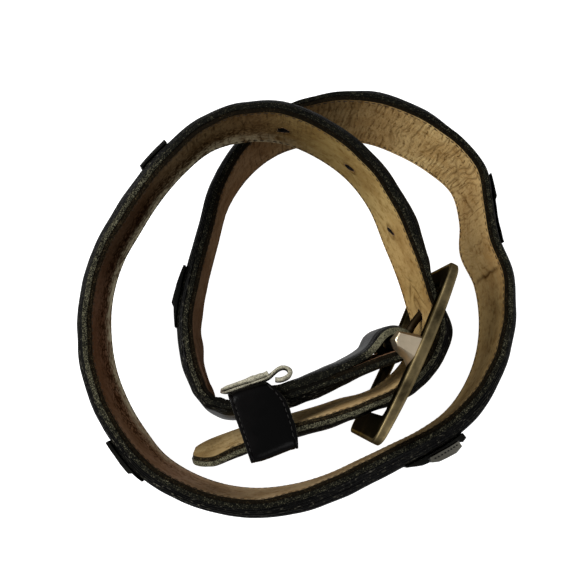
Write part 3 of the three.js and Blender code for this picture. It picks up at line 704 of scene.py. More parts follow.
def make_punch(torn):
    """The cutter for the leather, or for the lining with its torn holes."""
    centres, radii = prong_line(6)
    keep = (centres[:, 0] > PRONG.enters) & (centres[:, 0] < PRONG.leaves)
    channel = tube_rings(centres[keep], radii[keep] + PRONG.channel, 16)
    slot = column_rings(PRONG.slot_radius, 40, (-PRONG.slot_height / 2, PRONG.slot_height / 2))
    holes = [
        hole_tool(at, i, TORN[i] if torn else None) for i, at in enumerate(HOLE_PLACES) if i > 0
    ]
    tool = joined_mesh("punch", [skin(grid) for grid in (*holes, slot, channel)])
    recalc_normals(tool)
    tool.data.polygons.foreach_set("material_index", np.ones(len(tool.data.polygons), np.int32))
    return tool


# Shader tools


class Value:
    """One output in a shader; ordinary sums with it add the nodes that work them out."""

    def __init__(self, socket):
        self.socket = socket

    def math(self, operation, other=0.5):
        return add("ShaderNodeMath", {0: self, 1: other}, operation=operation)

    def __add__(self, other):
        return self.math("ADD", other)

    def __sub__(self, other):
        return self.math("SUBTRACT", other)

    def __mul__(self, other):
        return self.math("MULTIPLY", other)

    def __truediv__(self, other):
        return self.math("DIVIDE", other)

    def at_least(self, other):
        return self.math("MAXIMUM", other)


def add(kind, inputs, output=0, **settings):
    """One output of a new node, which stands in the same tree as the values led into it."""
    tree = next(v.socket.id_data for v in inputs.values() if isinstance(v, Value))
    node = tree.nodes.new(kind)
    for key, value in settings.items():
        setattr(node, key, value)
    for key, value in inputs.items():
        if isinstance(value, Value):
            tree.links.new(value.socket, node.inputs[key])
        else:
            node.inputs[key].default_value = value
    return Value(node.outputs[output])


def ramp(factor, low, high):
    """0 at low and 1 at high, smoothly."""
    given = {"Value": factor, "From Min": low, "From Max": high}
    return add("ShaderNodeMapRange", given, interpolation_type="SMOOTHSTEP")


def mix(factor, a, b, blend="MIX"):
    return add("ShaderNodeMix", {0: factor, 6: a, 7: b}, 2, data_type="RGBA", blend_type=blend)


def multiplied(color, tint):
    return mix(1.0, color, tint, "MULTIPLY")


def noise(spot, scale, detail=3, roughness=0.55):
    given = {"Vector": spot, "Scale": scale, "Detail": detail, "Roughness": roughness}
    return add("ShaderNodeTexNoise", given, "Fac")


def flat_spot(x, y):
    return add("ShaderNodeCombineXYZ", {"X": x, "Y": y})


def attribute(tree, name):
    node = tree.nodes.new("ShaderNodeAttribute")
    node.attribute_name = name
    return Value(node.outputs["Fac"])


def tone(r, g, b):
    """A display colour from 0 to 255 as the shader's own colour."""
    def linear(v):
        v /= 255
        return v / 12.92 if v <= 0.04045 else ((v + 0.055) / 1.055) ** 2.4
    return (linear(r), linear(g), linear(b), 1)


def named(sockets):
    return {socket.name: Value(socket) for socket in sockets}


def new_group(name, **inputs):
    """A group whose inputs are a vector (None), a colour (four numbers) or one number."""
    tree = bpy.data.node_groups.new(name, "ShaderNodeTree")
    for title, value in inputs.items():
        kind = "Vector" if value is None else "Color" if isinstance(value, tuple) else "Float"
        socket = tree.interface.new_socket(
            title.replace("_", " "), in_out="INPUT", socket_type="NodeSocket" + kind
        )
        if value is not None:
            socket.default_value = value
    return tree, named(tree.nodes.new("NodeGroupInput").outputs)


def finish_group(tree, **outputs):
    for title in outputs:
        kind = "Color" if title == "Color" else "Float"
        tree.interface.new_socket(title, in_out="OUTPUT", socket_type="NodeSocket" + kind)
    result = tree.nodes.new("NodeGroupOutput")
    for title, value in outputs.items():
        tree.links.new(value.socket, result.inputs[title])
    return tree


BLACK, WHITE = (0, 0, 0, 1), (1, 1, 1, 1)


def grain_group():
    """Fine pebbled grain: height for a bump, and a tone that varies over the hide."""
    tree, given = new_group("leather grain", Vector=None, Pebble_Size=0.0006)
    spot, scale = given["Vector"], given["Pebble Size"].math("POWER", -1)
    cells = add("ShaderNodeTexVoronoi", {"Vector": spot, "Scale": scale}, "Distance")
    height = cells * 0.6 + noise(spot, 900)
    return finish_group(tree, Height=height, Tone=noise(spot, 60, 5))


def fibre_group():
    """A cut leather edge: pale fibres over dark ones, more of them where Wear is high."""
    tree, given = new_group("raw edge fibres", Vector=None, Wear=0.5, Dark=BLACK, Pale=WHITE)
    spot = given["Vector"]
    blend = noise(spot, 800, 2) * 0.2 + noise(spot, 3400, 2, 0.6) * 0.8
    share = ramp(blend - (given["Wear"] * -0.13 + 0.645), -0.07, 0.12)
    return finish_group(tree, Color=mix(share, given["Dark"], given["Pale"]), Height=blend)


def wrinkle_group():
    """Wavy wrinkles that run across the strap, from the distance along it and the height on it."""
    tree, given = new_group("cross wrinkles", Along=0.0, Height=0.0, Spacing=2.2, Reach=9.0)
    turns = given["Along"] / given["Spacing"]
    spot = flat_spot(turns * 0.3, given["Height"] / given["Reach"])
    phase = noise(spot, 1) * 1.7 + turns
    away = (phase.math("FRACT") - 0.5).math("ABSOLUTE")
    patch = ramp(noise(spot, 2.2, 2), 0.42, 0.6)
    return finish_group(tree, Mask=ramp(away, 0.16, 0.02) * patch, Swell=away)


def crackle_group():
    """A net of short cracks, from the distance along the strap and the height on it."""
    tree, given = new_group("crackle", Along=0.0, Height=0.0, Cell_Size=2.5)
    flat = flat_spot(given["Along"] / given["Cell Size"], given["Height"] / given["Cell Size"])
    stray = add("ShaderNodeTexNoise", {"Vector": flat, "Scale": 1.2, "Detail": 2}, "Color")
    bent = add("ShaderNodeVectorMath", {0: flat, 1: stray}, operation="ADD")
    cells = add(
        "ShaderNodeTexVoronoi", {"Vector": bent, "Scale": 1}, "Distance",
        feature="DISTANCE_TO_EDGE",
    )
    patch = ramp(noise(flat, 0.5, 2), 0.3, 0.48)
    return finish_group(tree, Mask=ramp(cells, 0.17, 0.02) * patch)


def metal_wear_group():
    """Dark patina in the hollows and bare metal where hands rub."""
    tree, given = new_group("metal wear", Vector=None, Rubbed=0.0, Patina=BLACK, Bare=WHITE)
    cloud = noise(given["Vector"], 160, 5, 0.6)
    scuffs = noise(given["Vector"], 1500, 3, 0.6)
    share = ramp(given["Rubbed"] + cloud * 0.7 - 0.35, 0.0, 1.0)
    return finish_group(
        tree,
        Color=mix(share, given["Patina"], given["Bare"]),
        Roughness=scuffs * 0.08 + share * -0.18 + 0.5,
        Height=scuffs * 0.4 + cloud,
    )


GRAIN = grain_group()
FIBRES = fibre_group()
WRINKLES = wrinkle_group()
CRACKLE = crackle_group()
METAL_WEAR = metal_wear_group()


def use(group, **inputs):
    """The outputs of a shared group, by name."""
    given = {title.replace("_", " "): value for title, value in inputs.items()}
    return named(add("ShaderNodeGroup", given, node_tree=group).socket.node.outputs)


def mottled(grain, low, dark, pale):
    """Two close tones of leather, blended as the hide's own tone varies."""
    return mix(ramp(grain["Tone"], low, 0.7), dark, pale)


def new_material(name, **sockets):
    """A material with even values on its shader, the spot being shaded, and a way to read paint."""
    material = bpy.data.materials.new(name)
    material.use_nodes = True
    tree = material.node_tree
    for title, value in sockets.items():
        tree.nodes["Principled BSDF"].inputs[title.replace("_", " ")].default_value = value
    spot = Value(tree.nodes.new("ShaderNodeTexCoord").outputs["Object"])
    return material, spot, partial(attribute, tree)


def wired(material, color, height, depth=0.0002, strength=1.0, rough=None):
    """The material with its colour, its bump and any roughness led into its shader."""
    tree = material.node_tree
    relief = {"Height": height, "Distance": depth, "Strength": strength}
    ends = {"Base Color": color, "Normal": add("ShaderNodeBump", relief, "Normal")}
    if rough is not None:
        ends["Roughness"] = rough
    for title, value in ends.items():
        tree.links.new(value.socket, tree.nodes["Principled BSDF"].inputs[title])
    return material


def strap_material():
    material, spot, read = new_material("black strap leather", IOR=1.45, Specular_IOR_Level=0.04)
    grain = use(GRAIN, Vector=spot, Pebble_Size=0.0007)
    edge = use(FIBRES, Vector=spot, Wear=read("wear"), Dark=tone(7, 7, 5), Pale=tone(96, 93, 74))
    black = mottled(grain, 0.35, tone(2, 2, 2), tone(6, 6, 5))
    # Painted highlight with some wear: pale streaks along the shoulders stand in for their thin
    # highlight lines
    streak = flat_spot(read("along") * 0.55, read("height") * 4.5)
    rubbed = ramp(noise(streak, 1, 3, 0.6), 0.57, 0.7) * read("shoulder")
    black = mix(rubbed * 0.6, black, tone(98, 95, 82))
    raw = read("raw")
    color = mix(read("flesh"), mix(raw, black, edge["Color"]), tone(44, 34, 24))
    rough = (grain["Tone"] * 0.3 + 0.16).at_least(raw * 0.8)
    relief = edge["Height"] * raw + grain["Height"]
    return wired(material, color, relief, 0.00012, 0.7, rough)


def cut_leather_material():
    """The walls of the punched holes, nearly black with brown fibres."""
    material, spot, _ = new_material("cut leather", IOR=1.4, Specular_IOR_Level=0.1)
    walls = use(FIBRES, Vector=spot, Wear=0.4, Dark=tone(10, 8, 6), Pale=tone(44, 34, 24))
    return wired(material, walls["Color"], walls["Height"])


# The lining's colour along the strap: partly its own tone, partly painted light and shade, darker
# on stretches whose lining faces away from the key light
LINING_TONES_AND_LIGHT = rows(
    "distance r g b",
    (50, 168, 132, 106), (100, 84, 62, 46), (125, 74, 56, 44), (190, 86, 68, 50),
    (212, 82, 64, 45), (241, 104, 88, 61), (259, 138, 113, 74), (275, 182, 158, 110),
    (300, 172, 144, 97), (322, 172, 145, 98), (342, 138, 116, 76), (386, 130, 112, 80),
    (451, 170, 147, 113), (478, 141, 113, 91), (498, 113, 87, 67), (522, 95, 69, 52),
    (545, 80, 58, 44), (562, 59, 44, 32), (578, 54, 39, 27), (594, 74, 61, 44),
    (612, 70, 57, 38), (629, 83, 65, 42), (651, 123, 104, 64), (675, 148, 127, 82),
    (696, 151, 126, 81), (707, 136, 112, 69), (740, 158, 134, 92), (766, 198, 172, 128),
    (785, 170, 147, 106), (806, 145, 125, 87),
)


def tone_ramp(factor, table, length):
    """The table's colours along the length, blended from each to the next."""
    color = add("ShaderNodeValToRGB", {"Fac": factor / length}, "Color")
    points = color.socket.node.color_ramp.elements
    while len(points) < len(table):
        points.new(0.5)
    for point, row in zip(points, table):
        point.position = row.distance / length
    for point, row in zip(points, table):
        point.color = tone(row.r, row.g, row.b)
    return color


def blotched(base, blotch, mottle):
    """The lining's colour with warm blotches, and finer darker and lighter spots."""
    warm = multiplied(base, tone(196, 176, 150))
    base = mix(ramp(blotch, 0.4, 0.66) * 0.6, base, warm)
    base = mix(ramp(mottle, 0.46, 0.74), base, multiplied(base, tone(196, 180, 154)))
    return mix(ramp(mottle, 0.5, 0.3), base, multiplied(base, tone(255, 250, 240)))


def lining_material():
    material, spot, read = new_material("tan lining leather", IOR=1.4, Specular_IOR_Level=0)
    along, height, wrinkled = read("along"), read("height"), read("wrinkled")
    grain = use(GRAIN, Vector=spot, Pebble_Size=0.0009)
    blotch, mottle = noise(spot, 70, 6, 0.65), noise(spot, 330, 5, 0.72)
    # The base colour carries the tone table's painted light and shade along the strap
    base = blotched(tone_ramp(along, LINING_TONES_AND_LIGHT, TIP_AT), blotch, mottle)

    wrinkles = use(WRINKLES, Along=along, Height=height, Spacing=2.6, Reach=10.0)
    finer = use(WRINKLES, Along=along, Height=height, Spacing=1.1, Reach=4.0)
    lines = (finer["Mask"] * 0.4 + wrinkles["Mask"] * 0.7) * wrinkled
    cracks = use(CRACKLE, Along=along, Height=height, Cell_Size=2.4)
    cracked = cracks["Mask"] * read("crackled") * 1.8
    lines = lines.at_least(cracked).at_least(read("crease"))
    shade = lines.at_least(read("hole") * 0.6)
    # Painted bounce light with some dust: a patchy pale grey low on the crackled stretch
    grey = read("dusty") * ramp(noise(spot, 300), 0.3, 0.6)
    base = mix(grey, base, tone(150, 142, 118))
    base = mix(shade, base, multiplied(base, tone(150, 134, 112)))

    worn = read("wear") * 0.5
    edge = use(FIBRES, Vector=spot, Wear=worn, Dark=tone(15, 12, 8), Pale=tone(70, 60, 40))
    # The lining's edge is near-black round the keeper
    edge_tone = mix(read("sooty"), edge["Color"], tone(12, 11, 9))
    color = mix(read("raw"), base, edge_tone)

    relief = blotch * 0.8 + grain["Height"] - mottle * 2.4 - lines * 2.2
    relief = relief + wrinkles["Swell"] * wrinkled
    return wired(material, color, relief, 0.0002, 0.8, grain["Tone"] * 0.2 + 0.6)


def keeper_material():
    material, spot, read = new_material("keeper leather", IOR=1.45, Specular_IOR_Level=0.06)
    grain, raw = use(GRAIN, Vector=spot, Pebble_Size=0.0005), read("raw")
    black = mottled(grain, 0.35, tone(3, 3, 3), tone(8, 7, 7))
    edge = use(FIBRES, Vector=spot, Wear=0.7, Dark=tone(18, 17, 13), Pale=tone(110, 108, 92))
    rough = (grain["Tone"] * 0.2 + 0.16).at_least(raw * 0.85)
    return wired(material, mix(raw, black, edge["Color"]), grain["Height"], 0.00008, 0.6, rough)


def overlay_material():
    material, spot, _ = new_material("overlay leather", IOR=1.45, Specular_IOR_Level=0.06)
    grain = use(GRAIN, Vector=spot, Pebble_Size=0.0006)
    black = mottled(grain, 0.4, tone(5, 5, 4), tone(16, 16, 12))
    return wired(material, black, grain["Height"], 0.0001, 0.7, grain["Tone"] * 0.25 + 0.35)


def pale_material():
    material, spot, read = new_material(
        "pale raw leather", IOR=1.4, Roughness=0.85, Specular_IOR_Level=0.2
    )
    edge = use(FIBRES, Vector=spot, Wear=1.6, Dark=tone(80, 76, 62), Pale=tone(172, 168, 148))
    color = mix(read("blush") * 0.85, edge["Color"], tone(70, 50, 42))
    return wired(material, color, edge["Height"], 0.0004)


def panel_material():
    material, spot, _ = new_material(
        "pale panel leather", IOR=1.4, Roughness=0.6, Specular_IOR_Level=0.3
    )
    grain = use(GRAIN, Vector=spot, Pebble_Size=0.0005)
    color = mottled(grain, 0.35, tone(62, 60, 53), tone(102, 100, 90))
    return wired(material, color, grain["Height"], 0.0001)


def metal_material(name, patina, bare):
    material, spot, read = new_material(name, Metallic=1.0, Specular_Tint=tone(150, 138, 112))
    worn = use(METAL_WEAR, Vector=spot, Rubbed=read("rubbed"), Patina=patina, Bare=bare)
    return wired(material, worn["Color"], worn["Height"], 0.00008, 0.5, worn["Roughness"])


def thread_material(name, color):
    material, spot, _ = new_material(name, Roughness=0.75, Specular_IOR_Level=0.2)
    twist = add("ShaderNodeTexWave", {"Vector": spot, "Scale": 900, "Distortion": 1.5}, "Fac")
    darker = tuple(0.55 * c for c in color[:3]) + (1,)
    return wired(material, mix(twist, color, darker), twist, 0.0001)


# The buckle


def rounded_outline(width, height, radius, steps=8):
    """Points round a rounded rectangle, the same number for every size."""
    x, y = width / 2 - radius, height / 2 - radius
    points = []
    for cx, cy, start in ((x, y, 0), (-x, y, 90), (-x, -y, 180), (x, -y, 270)):
        for turn in np.linspace(0, 90, steps + 1):
            angle = math.radians(start + turn)
            points.append((cx + radius * math.cos(angle), cy + radius * math.sin(angle)))
    return np.array(points)


def dense_outline(corners, pace, measured=4):
    """The outline with extra points on its long sides, which its first columns measure."""
    points = []
    for a, b in zip(corners, np.roll(corners, -1, axis=0)):
        count = max(1, int(np.linalg.norm((b - a)[:measured]) / pace))
        points.extend(a + (b - a) * i / count for i in range(count))
    return np.array(points)


def bow(face, t):
    """How far a bowed face of the plate stands out at t."""
    return face.middle - (face.middle - face.ends) * (t / (BUCKLE.length / 2)) ** 2


def frame_grid():
    """The buckle's plate as a ring of sections, each a rounded rectangle of metal."""
    outer = rounded_outline(BUCKLE.length, BUCKLE.height, BUCKLE.corner)
    inner = rounded_outline(BUCKLE.window_length, BUCKLE.window_height, BUCKLE.window_corner)
    inner = inner + (BUCKLE.window_aside, 0)
    both = dense_outline(np.hstack((outer, inner)), 3)
    outer, inner = both[:, :2], both[:, 2:]
    section = rows(
        "side inset face rubbed",
        (0, 0.5, 0, 0.3), (0, 0.1, 0.1, 0.3), (0, 0, 0.3, 0.26), (0, 0, 0.7, 0.28),
        (0, 0.1, 0.9, 0.45), (0, 0.5, 1, 0.6), (0, 1.6, 1, 0.3), (1, 1.6, 1, 0.3),
        (1, 0.5, 1, 0.8), (1, 0.1, 0.9, 0.6), (1, 0, 0.7, 0.2), (1, 0, 0.3, 0.1),
        (1, 0.2, 0.06, 0.05), (1, 0.6, 0, 0), (1, 2.2, 0, 0), (0, 1.6, 0, 0.1), (0, 1.2, 0, 0.6),
    )
    toward = unit(outer - inner)
    rings = []
    for row in section:
        spot = inner + toward * row.inset if row.side else outer - toward * row.inset
        back, front = bow(BACK, spot[:, 0]), bow(FRONT, spot[:, 0])
        rings.append(buckle_spot(spot[:, 0], back + (front - back) * row.face, spot[:, 1]))
    return np.array(rings).transpose(1, 0, 2), [row.rubbed for row in section]


def make_plate():
    grid, rubbed = frame_grid()
    return sweep("buckle_plate", grid, {"rubbed": rubbed}, closed=True, sharp=60)


def lug_grid(side):
    """One lug, with softened corners, from its foot at the bar to its head in the rim."""
    corners = np.stack(columns(LUG_ROWS, "foot_t foot_n head_t head_n"), 1)
    both = dense_outline(corners, 1.2, measured=2)
    rings = []
    for part, shrink in ((0, 0.94), (0.06, 1), (0.35, 1), (0.65, 1), (0.94, 1), (1, 0.93)):
        outline = both[:, :2] * (1 - part) + both[:, 2:] * part
        centre = outline.mean(0)
        outline = centre + (outline - centre) * shrink
        w = side * (LUG.foot + (LUG.head - LUG.foot) * part)
        rings.append(buckle_spot(outline[:, 0], outline[:, 1], w))
    return np.array(rings)


def cast_piece(name, parts, sharp, rubbed):
    """A metal piece, evenly rubbed."""
    piece = joined_mesh(name, parts, sharp)
    recalc_normals(piece)
    paint(piece.data, "rubbed", np.full(len(piece.data.vertices), rubbed))
    return piece


def make_lugs():
    """The lugs and the centre bar, cast in one with the plate."""
    bar = column_rings(BAR.radius, 24, np.linspace(-BAR.reach, BAR.reach, 13))
    return cast_piece("buckle_lugs", [skin(lug_grid(1)), skin(lug_grid(-1)), skin(bar)], 35, 0.8)


# Half the outline of the prong's ring round the bar
RING_HALF = ((2.35, 1), (2.5, 1.25), (2.9, 1.3), (4.3, 1.3), (4.75, 1.1), (4.9, 0.7))


def make_prong():
    rod = tube_rings(*prong_line(8), 18)
    tip, before = rod[-1].mean(0), rod[-2].mean(0)
    rounding = rows("out shrink", (0.35, 0.92), (0.65, 0.72), (0.85, 0.4))
    ends = [
        tip + (rod[-1] - tip) * row.shrink + unit(tip - before) * row.out for row in rounding
    ]
    section = [(reach, -w) for reach, w in RING_HALF] + list(reversed(RING_HALF))
    ring = np.stack([
        buckle_spot(*round_bar(reach, full_turn(48)), w) for reach, w in section
    ], 1)
    parts = [skin(np.concatenate((rod, ends))), skin(ring, closed=True)]
    return cast_piece("prong", parts, 50, 0.0)


# The keeper


def keeper_spot(along, across, height):
    """A point in the keeper's own directions, across being outward from the coil."""
    turn = math.radians(KEEPER.heading)
    x = KEEPER.x + along * math.cos(turn) + across * math.sin(turn)
    y = KEEPER.y + along * math.sin(turn) - across * math.cos(turn)
    return np.stack(np.broadcast_arrays(x, y, height), -1)


def keeper_outlines():
    """The band's inner outline, dense and rounded, with the outward direction at each point."""
    corners = np.stack(columns(KEEPER_CORNERS, "across height"), 1)
    points = []
    for i, corner in enumerate(corners):
        start = corner + unit(corners[i - 1] - corner) * KEEPER.corner
        end = corner + unit(corners[(i + 1) % 4] - corner) * KEEPER.corner
        for w in np.linspace(0, 1, 9):
            points.append(start * (1 - w) ** 2 + corner * 2 * w * (1 - w) + end * w * w)
    dense = dense_outline(np.array(points), 0.9)
    step = np.roll(dense, -1, axis=0) - np.roll(dense, 1, axis=0)
    outward = unit(np.stack((step[:, 1], -step[:, 0]), 1))
    return dense, outward


# How far the band's open side is cut back from its straight edge, over the top from the inside out
OPEN_SIDE = rows(
    "across cut",
    (-7.4, 4.4), (-5.5, 3.1), (-3, 1.4), (0, 0.2), (3, 0), (8, 0.1), (12, 0.7), (15, 1.6),
)
KEEPER_SEAM = SimpleNamespace(share=0.855, pitch=1.9, level=0.97, width=0.32)
# From the band's side to its middle: the raw edge, the rounded rim and the seam's groove
BAND_HALF = (
    (1, 0.1, 1), (1, 0.5, 1), (1, 0.9, 1), (0.985, 0.99, 0), (0.95, 1.03, 0), (0.9, 1.05, 0),
    (0.87, 1.02, 0), (KEEPER_SEAM.share, 0.86, 0), (0.84, 1.03, 0), (0.8, 1.1, 0),
    (0.6, 1.2, 0), (0.3, 1.27, 0),
)


def cut_back(across, share):
    """How far the open side is cut back; the other side is straight."""
    across_at, cut_at = columns(OPEN_SIDE, "across cut")
    return np.interp(across, across_at, cut_at) * share * (share > 0)


def make_keeper():
    inner, outward = keeper_outlines()
    section = rows(
        "along level raw",
        *((-along, level, raw) for along, level, raw in BAND_HALF), (0, 1.3, 0),
        *reversed(BAND_HALF), (0.98, 0, 0), (0, 0, 0), (-0.98, 0, 0),
    )
    share, level, raw = columns(section, "along level raw")
    path = np.arange(len(inner))[:, None]
    dent = 0.24 * lattice(path / 9, share * 1.9, 43) * (level > 0.95)
    lift = KEEPER.wall * (level + dent)
    across, height = (inner[:, None, i] + outward[:, None, i] * lift for i in (0, 1))
    ripple = 0.12 * lattice(path / 6, share * 2, 41) + 0.25 * lattice(path / 17, np.sign(share), 42)
    along = KEEPER.width / 2 * share + ripple * (np.abs(share) > 0.5) - cut_back(across, share)
    return sweep("keeper", keeper_spot(along, across, height), {"raw": raw}, closed=True, sharp=60)


def keeper_seam(share):
    """Grey stitches sunk in the band's groove near one of its sides, over the top and down."""
    inner, outward = keeper_outlines()
    step = np.linalg.norm(np.diff(inner, axis=0), axis=1)
    path = np.concatenate(([0], np.cumsum(step)))
    pitch, lift = KEEPER_SEAM.pitch, KEEPER.wall * KEEPER_SEAM.level
    origin = keeper_spot(0, 0, 0)

    def spot(at):
        inner_at, height_at, *out = (np.interp(at, path, v) for v in (*inner.T, *outward.T))
        across, height = inner_at + out[0] * lift, height_at + out[1] * lift
        along = KEEPER.width / 2 * share - cut_back(across, share)
        return keeper_spot(along, across, height), unit(keeper_spot(0, *out) - origin)

    parts = []
    for start in np.arange(0.5, path[-1] - pitch, pitch):
        begin, normal = spot(start)
        end, _ = spot(start + pitch * 0.7)
        parts.append(stitch_part(begin, end, normal, KEEPER_SEAM.width))
    return parts


# Loose thread ends at the band's lower corner: where each starts and how far it hangs out
LOOSE_ENDS = rows(
    "along across height out_along out_across",
    (4.6, 12.6, 2.4, 0.9, 1.5), (7.9, 11.9, 3.2, 1.6, 0.4), (7.6, 12.4, 5, 1.1, 0.9),
)


def loose_end(row):
    start = keeper_spot(row.along, row.across, row.height)
    end = keeper_spot(row.along + row.out_along, row.across + row.out_across, row.height + 0.4)
    return stitch_part(start, end, np.array((0, 0, 1)), 0.5)


def make_keeper_seams():
    parts = [loose_end(row) for row in LOOSE_ENDS]
    for side in (1, -1):
        parts += keeper_seam(side * KEEPER_SEAM.share)
    return joined_mesh("keeper_stitches", parts, sharp=80)


STRIP_STEPS = 8
STRIP_SECTION = rows(
    "aside height",
    (-0.5, 0), (-0.5, 0.25), (-0.5, 0.5), (-0.52, 0.8), (-0.5, 0.95), (-0.42, 0.99),
    (-0.25, 1.01), (-0.05, 1.02), (0.15, 1.02), (0.35, 1), (0.48, 0.96), (0.52, 0.8), (0.5, 0.5),
    (0.5, 0.25), (0.5, 0),
)


def make_strip():
    line = catmull(np.stack(columns(STRIP_ROWS, "along across"), 1), STRIP_STEPS)
    step = unit(np.gradient(line, axis=0))
    side = np.stack((-step[:, 1], step[:, 0]), 1)
    aside, share = columns(STRIP_SECTION, "aside height")
    aside = aside * STRIP.thick
    ring = np.arange(len(line))[:, None]
    upper = fade(share, 0.75, 1)
    torn = 1 - fade(ring, 4, 20)
    curl_from, fold_at = 11 * STRIP_STEPS, 4 * STRIP_STEPS
    swell = 1 + 0.2 * lattice(ring / 3, share * 7, 51) * upper
    swell = swell + torn * upper * (0.5 + 0.5 * lattice(ring / 1.6, share * 9, 52))
    swell = swell + 0.45 * fade(ring, curl_from, curl_from + 14)
    top = STRIP.high + 0.5 * lattice(ring / 6, share * 0, 53) + torn * 0.8
    fuzz = 0.1 * lattice(ring / 0.9, share * 31, 54) * upper
    height = STRIP.low + (top - STRIP.low) * share + fuzz
    along, across = (line[:, None, i] + side[:, None, i] * aside * swell for i in (0, 1))
    blush = {"blush": bump(ring, fold_at, 11)}
    return sweep("keeper_tail", keeper_spot(along, across, height), blush, sharp=60)


# Overlays and stitches


def overlay_stations(table, pace=0.8):
    tips, base, top = columns(rows("tip base top", *table), "tip base top")
    dense = np.concatenate([
        np.linspace(a, b, max(2, int((a - b) / pace) + 1), endpoint=False)
        for a, b in zip(tips, tips[1:])
    ] + [tips[-1:]])
    base, top = (np.interp(-dense, -tips, values) for values in (base, top))
    return LINE.at(TIP_AT - dense), base, top


def make_overlay(name, table):
    stations, base, top = overlay_stations(table)
    low, high, bevel = OVERLAY.low, OVERLAY.high, 0.28
    section = rows(
        "level h",
        (0, high - 0.05), (0.25, high), (0.75, high), (0.94, high - bevel * 0.4), (1, high - bevel),
        (1, high - 1.6), (0.93, high - 1.9), (1, high - 2.2), (1, 22), (1, 16.5), (1, 11),
        (1, low + 2.2), (0.93, low + 1.9), (1, low + 1.6), (1, low + bevel),
        (0.94, low + bevel * 0.4), (0.75, low), (0.25, low), (0, low + 0.05),
    )
    level, h = columns(section, "level h")
    s = stations.distance[:, None]
    d = stations.thick[:, None] + base[:, None] + (top - base)[:, None] * level
    d = d + 0.05 * lattice(s / 2.5, h / 3, 61) * (level > 0.5)
    return sweep(name, place(stations, d, h + 0 * s), sharp=42)


def stitch_part(start, end, normal, width):
    """One stitch: a low rounded bar from start to end, sunk at both ends."""
    along = end - start
    side = unit(np.cross(normal, along))
    turn = full_turn(6)
    rings = []
    for share, swell in ((0, 0.25), (0.15, 0.8), (0.35, 1), (0.65, 1), (0.85, 0.8), (1, 0.25)):
        centre = start + along * share + normal * (swell - 0.6) * width * 0.5
        ring = centre + np.outer(np.cos(turn) * width / 2 * swell, side)
        rings.append(ring + np.outer(np.sin(turn) * width / 2 * swell, normal))
    return skin(np.array(rings))


def stitch_row(name, starts, length, d, h, width, on_top=False):
    """Stitches along the strap, d outward and h up from its line, on its face or on its top."""
    first, last = LINE.at(starts), LINE.at(starts + length)
    normals = first.up if on_top else -first.out
    d = np.broadcast_to(d, starts.shape)[:, None]
    begins, ends = (line.point + line.out * d + line.up * h for line in (first, last))
    parts = [stitch_part(*stitch, width) for stitch in zip(begins, ends, normals)]
    return joined_mesh(name, parts, sharp=80)


def make_lining_stitches():
    sunk = -LINING.gap - LINING.thick + 0.08
    starts = np.arange(FOLD_END + SEAM.start, TIP_AT - SEAM.end, SEAM.pitch)
    return [
        stitch_row(f"lining_stitches_{side}", starts, SEAM.pitch * 0.72, sunk, h, SEAM.width)
        for side, h in (("low", SEAM.low), ("high", SEAM.high))
    ]


def make_panel_stitches():
    """The dark stitches along the top of the pale panel, near its inner side."""
    pitch = 1.05
    starts = TIP_AT - np.arange(427.2, 419, -pitch)
    level = LINE.at(starts).thick + 2.1
    return stitch_row(
        "panel_stitches", starts, pitch * 0.6, level, OVERLAY.high + 0.1, 0.45, on_top=True
    )


# Putting it together


def dress_strap():
    black, tan, hole_walls = strap_material(), lining_material(), cut_leather_material()
    strap, lining = make_strap(), make_lining()
    for thing, material, torn in ((strap, black, False), (lining, tan, True)):
        punch = make_punch(torn)
        cut(thing, punch, material, hole_walls)
        bpy.data.objects.remove(punch)
    dress(strap, black, "strap_leather", "strap_leather")
    dress(lining, tan, "lining", "strap_lining")
    brown_thread = thread_material("brown thread", tone(52, 40, 26))
    for piece in make_lining_stitches():
        dress(piece, brown_thread, "lining")


def dress_buckle():
    brass = metal_material("aged brass", tone(17, 14, 6), tone(180, 160, 116))
    bright = metal_material("rubbed nickel", tone(38, 30, 18), tone(206, 190, 164))
    dress(make_plate(), brass, "buckle", "buckle_frame")
    dress(make_lugs(), bright, "buckle")
    dress(make_prong(), bright, "buckle", "buckle_prong")


def dress_keeper():
    grey_thread = thread_material("grey thread", tone(36, 34, 32))
    dress(make_keeper(), keeper_material(), "keeper", "keeper_band")
    dress(make_keeper_seams(), grey_thread, "keeper")
    dress(make_strip(), pale_material(), "pale_leather", "keeper_strip")


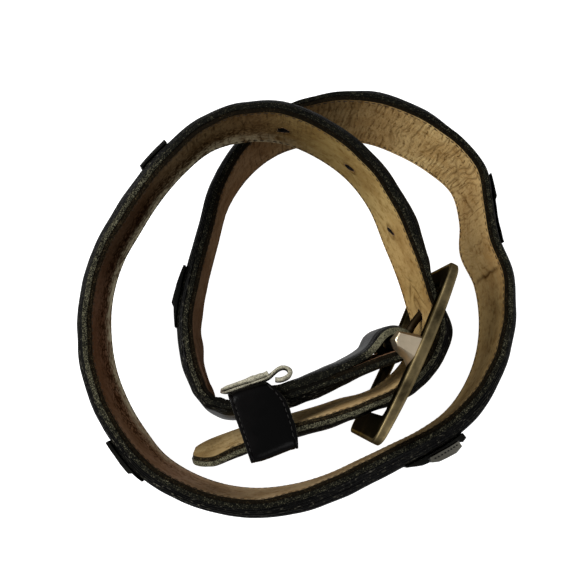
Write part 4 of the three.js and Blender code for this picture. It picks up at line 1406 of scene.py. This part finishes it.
def dress_overlays():
    overlay, panel = overlay_material(), panel_material()
    for name, table in OVERLAYS.items():
        piece = make_overlay(name.replace("overlay", "trim"), table)
        if name == "overlay_pale_panel":
            dress(piece, panel, "pale_leather", name)
        else:
            dress(piece, overlay, "overlay_leather", name)
    black_thread = thread_material("black thread", tone(12, 12, 11))
    dress(make_panel_stitches(), black_thread, "overlay_leather")


# Floor, light and camera

# In millimetres, and the picture's own sizes in pixels
CAMERA = SimpleNamespace(
    x=-5.313, y=-31.52, z=262, tilt_rise=104, focal=730, off_centre=6, frame=580
)


def make_stage():
    material, *_ = new_material(
        "pale floor", Base_Color=(0.5, 0.5, 0.5, 1), Roughness=0.9, Specular_IOR_Level=0,
        Emission_Color=(1, 1, 1, 1), Emission_Strength=1,
    )
    mesh = bpy.data.meshes.new("floor")
    reach = 3
    corners = [(-reach, -reach, 0), (reach, -reach, 0), (reach, reach, 0), (-reach, reach, 0)]
    mesh.from_pydata(corners, [], [(0, 1, 2, 3)])
    mesh.materials.append(material)
    floor = put("floor", mesh)
    floor.visible_glossy = False


def area_light(name, spot, aim, size, power):
    data = bpy.data.lights.new(name, "AREA")
    data.shape = "DISK"
    data.size = size
    data.energy = power
    light = put(name, data)
    light.location = spot
    light.rotation_euler = (Vector(aim) - Vector(spot)).to_track_quat("-Z", "Y").to_euler()


def make_lights():
    area_light("key", (-0.6, 0.1, 0.5), (0, 0, 0.02), 0.5, 8)
    area_light("fill", (0.3, -0.5, 0.6), (0, 0, 0.02), 0.5, 2)
    world = bpy.data.worlds.new("studio")
    world.use_nodes = True
    background = world.node_tree.nodes["Background"]
    background.inputs["Color"].default_value = (1, 1, 1, 1)
    background.inputs["Strength"].default_value = 0.5
    bpy.context.scene.world = world
    bpy.context.scene.view_settings.view_transform = "Standard"


def make_camera():
    data = bpy.data.cameras.new("camera")
    data.sensor_width = 36
    data.lens = CAMERA.focal / CAMERA.frame * data.sensor_width
    data.shift_x = CAMERA.off_centre / CAMERA.frame
    data.clip_start = 0.01
    camera = put("camera", data)
    camera.location = (CAMERA.x * MM, CAMERA.y * MM, CAMERA.z * MM)
    camera.rotation_euler = (math.atan(CAMERA.tilt_rise / CAMERA.focal), 0, 0)
    bpy.context.scene.camera = camera


dress_strap()
dress_buckle()
dress_keeper()
dress_overlays()
make_stage()
make_lights()
make_camera()
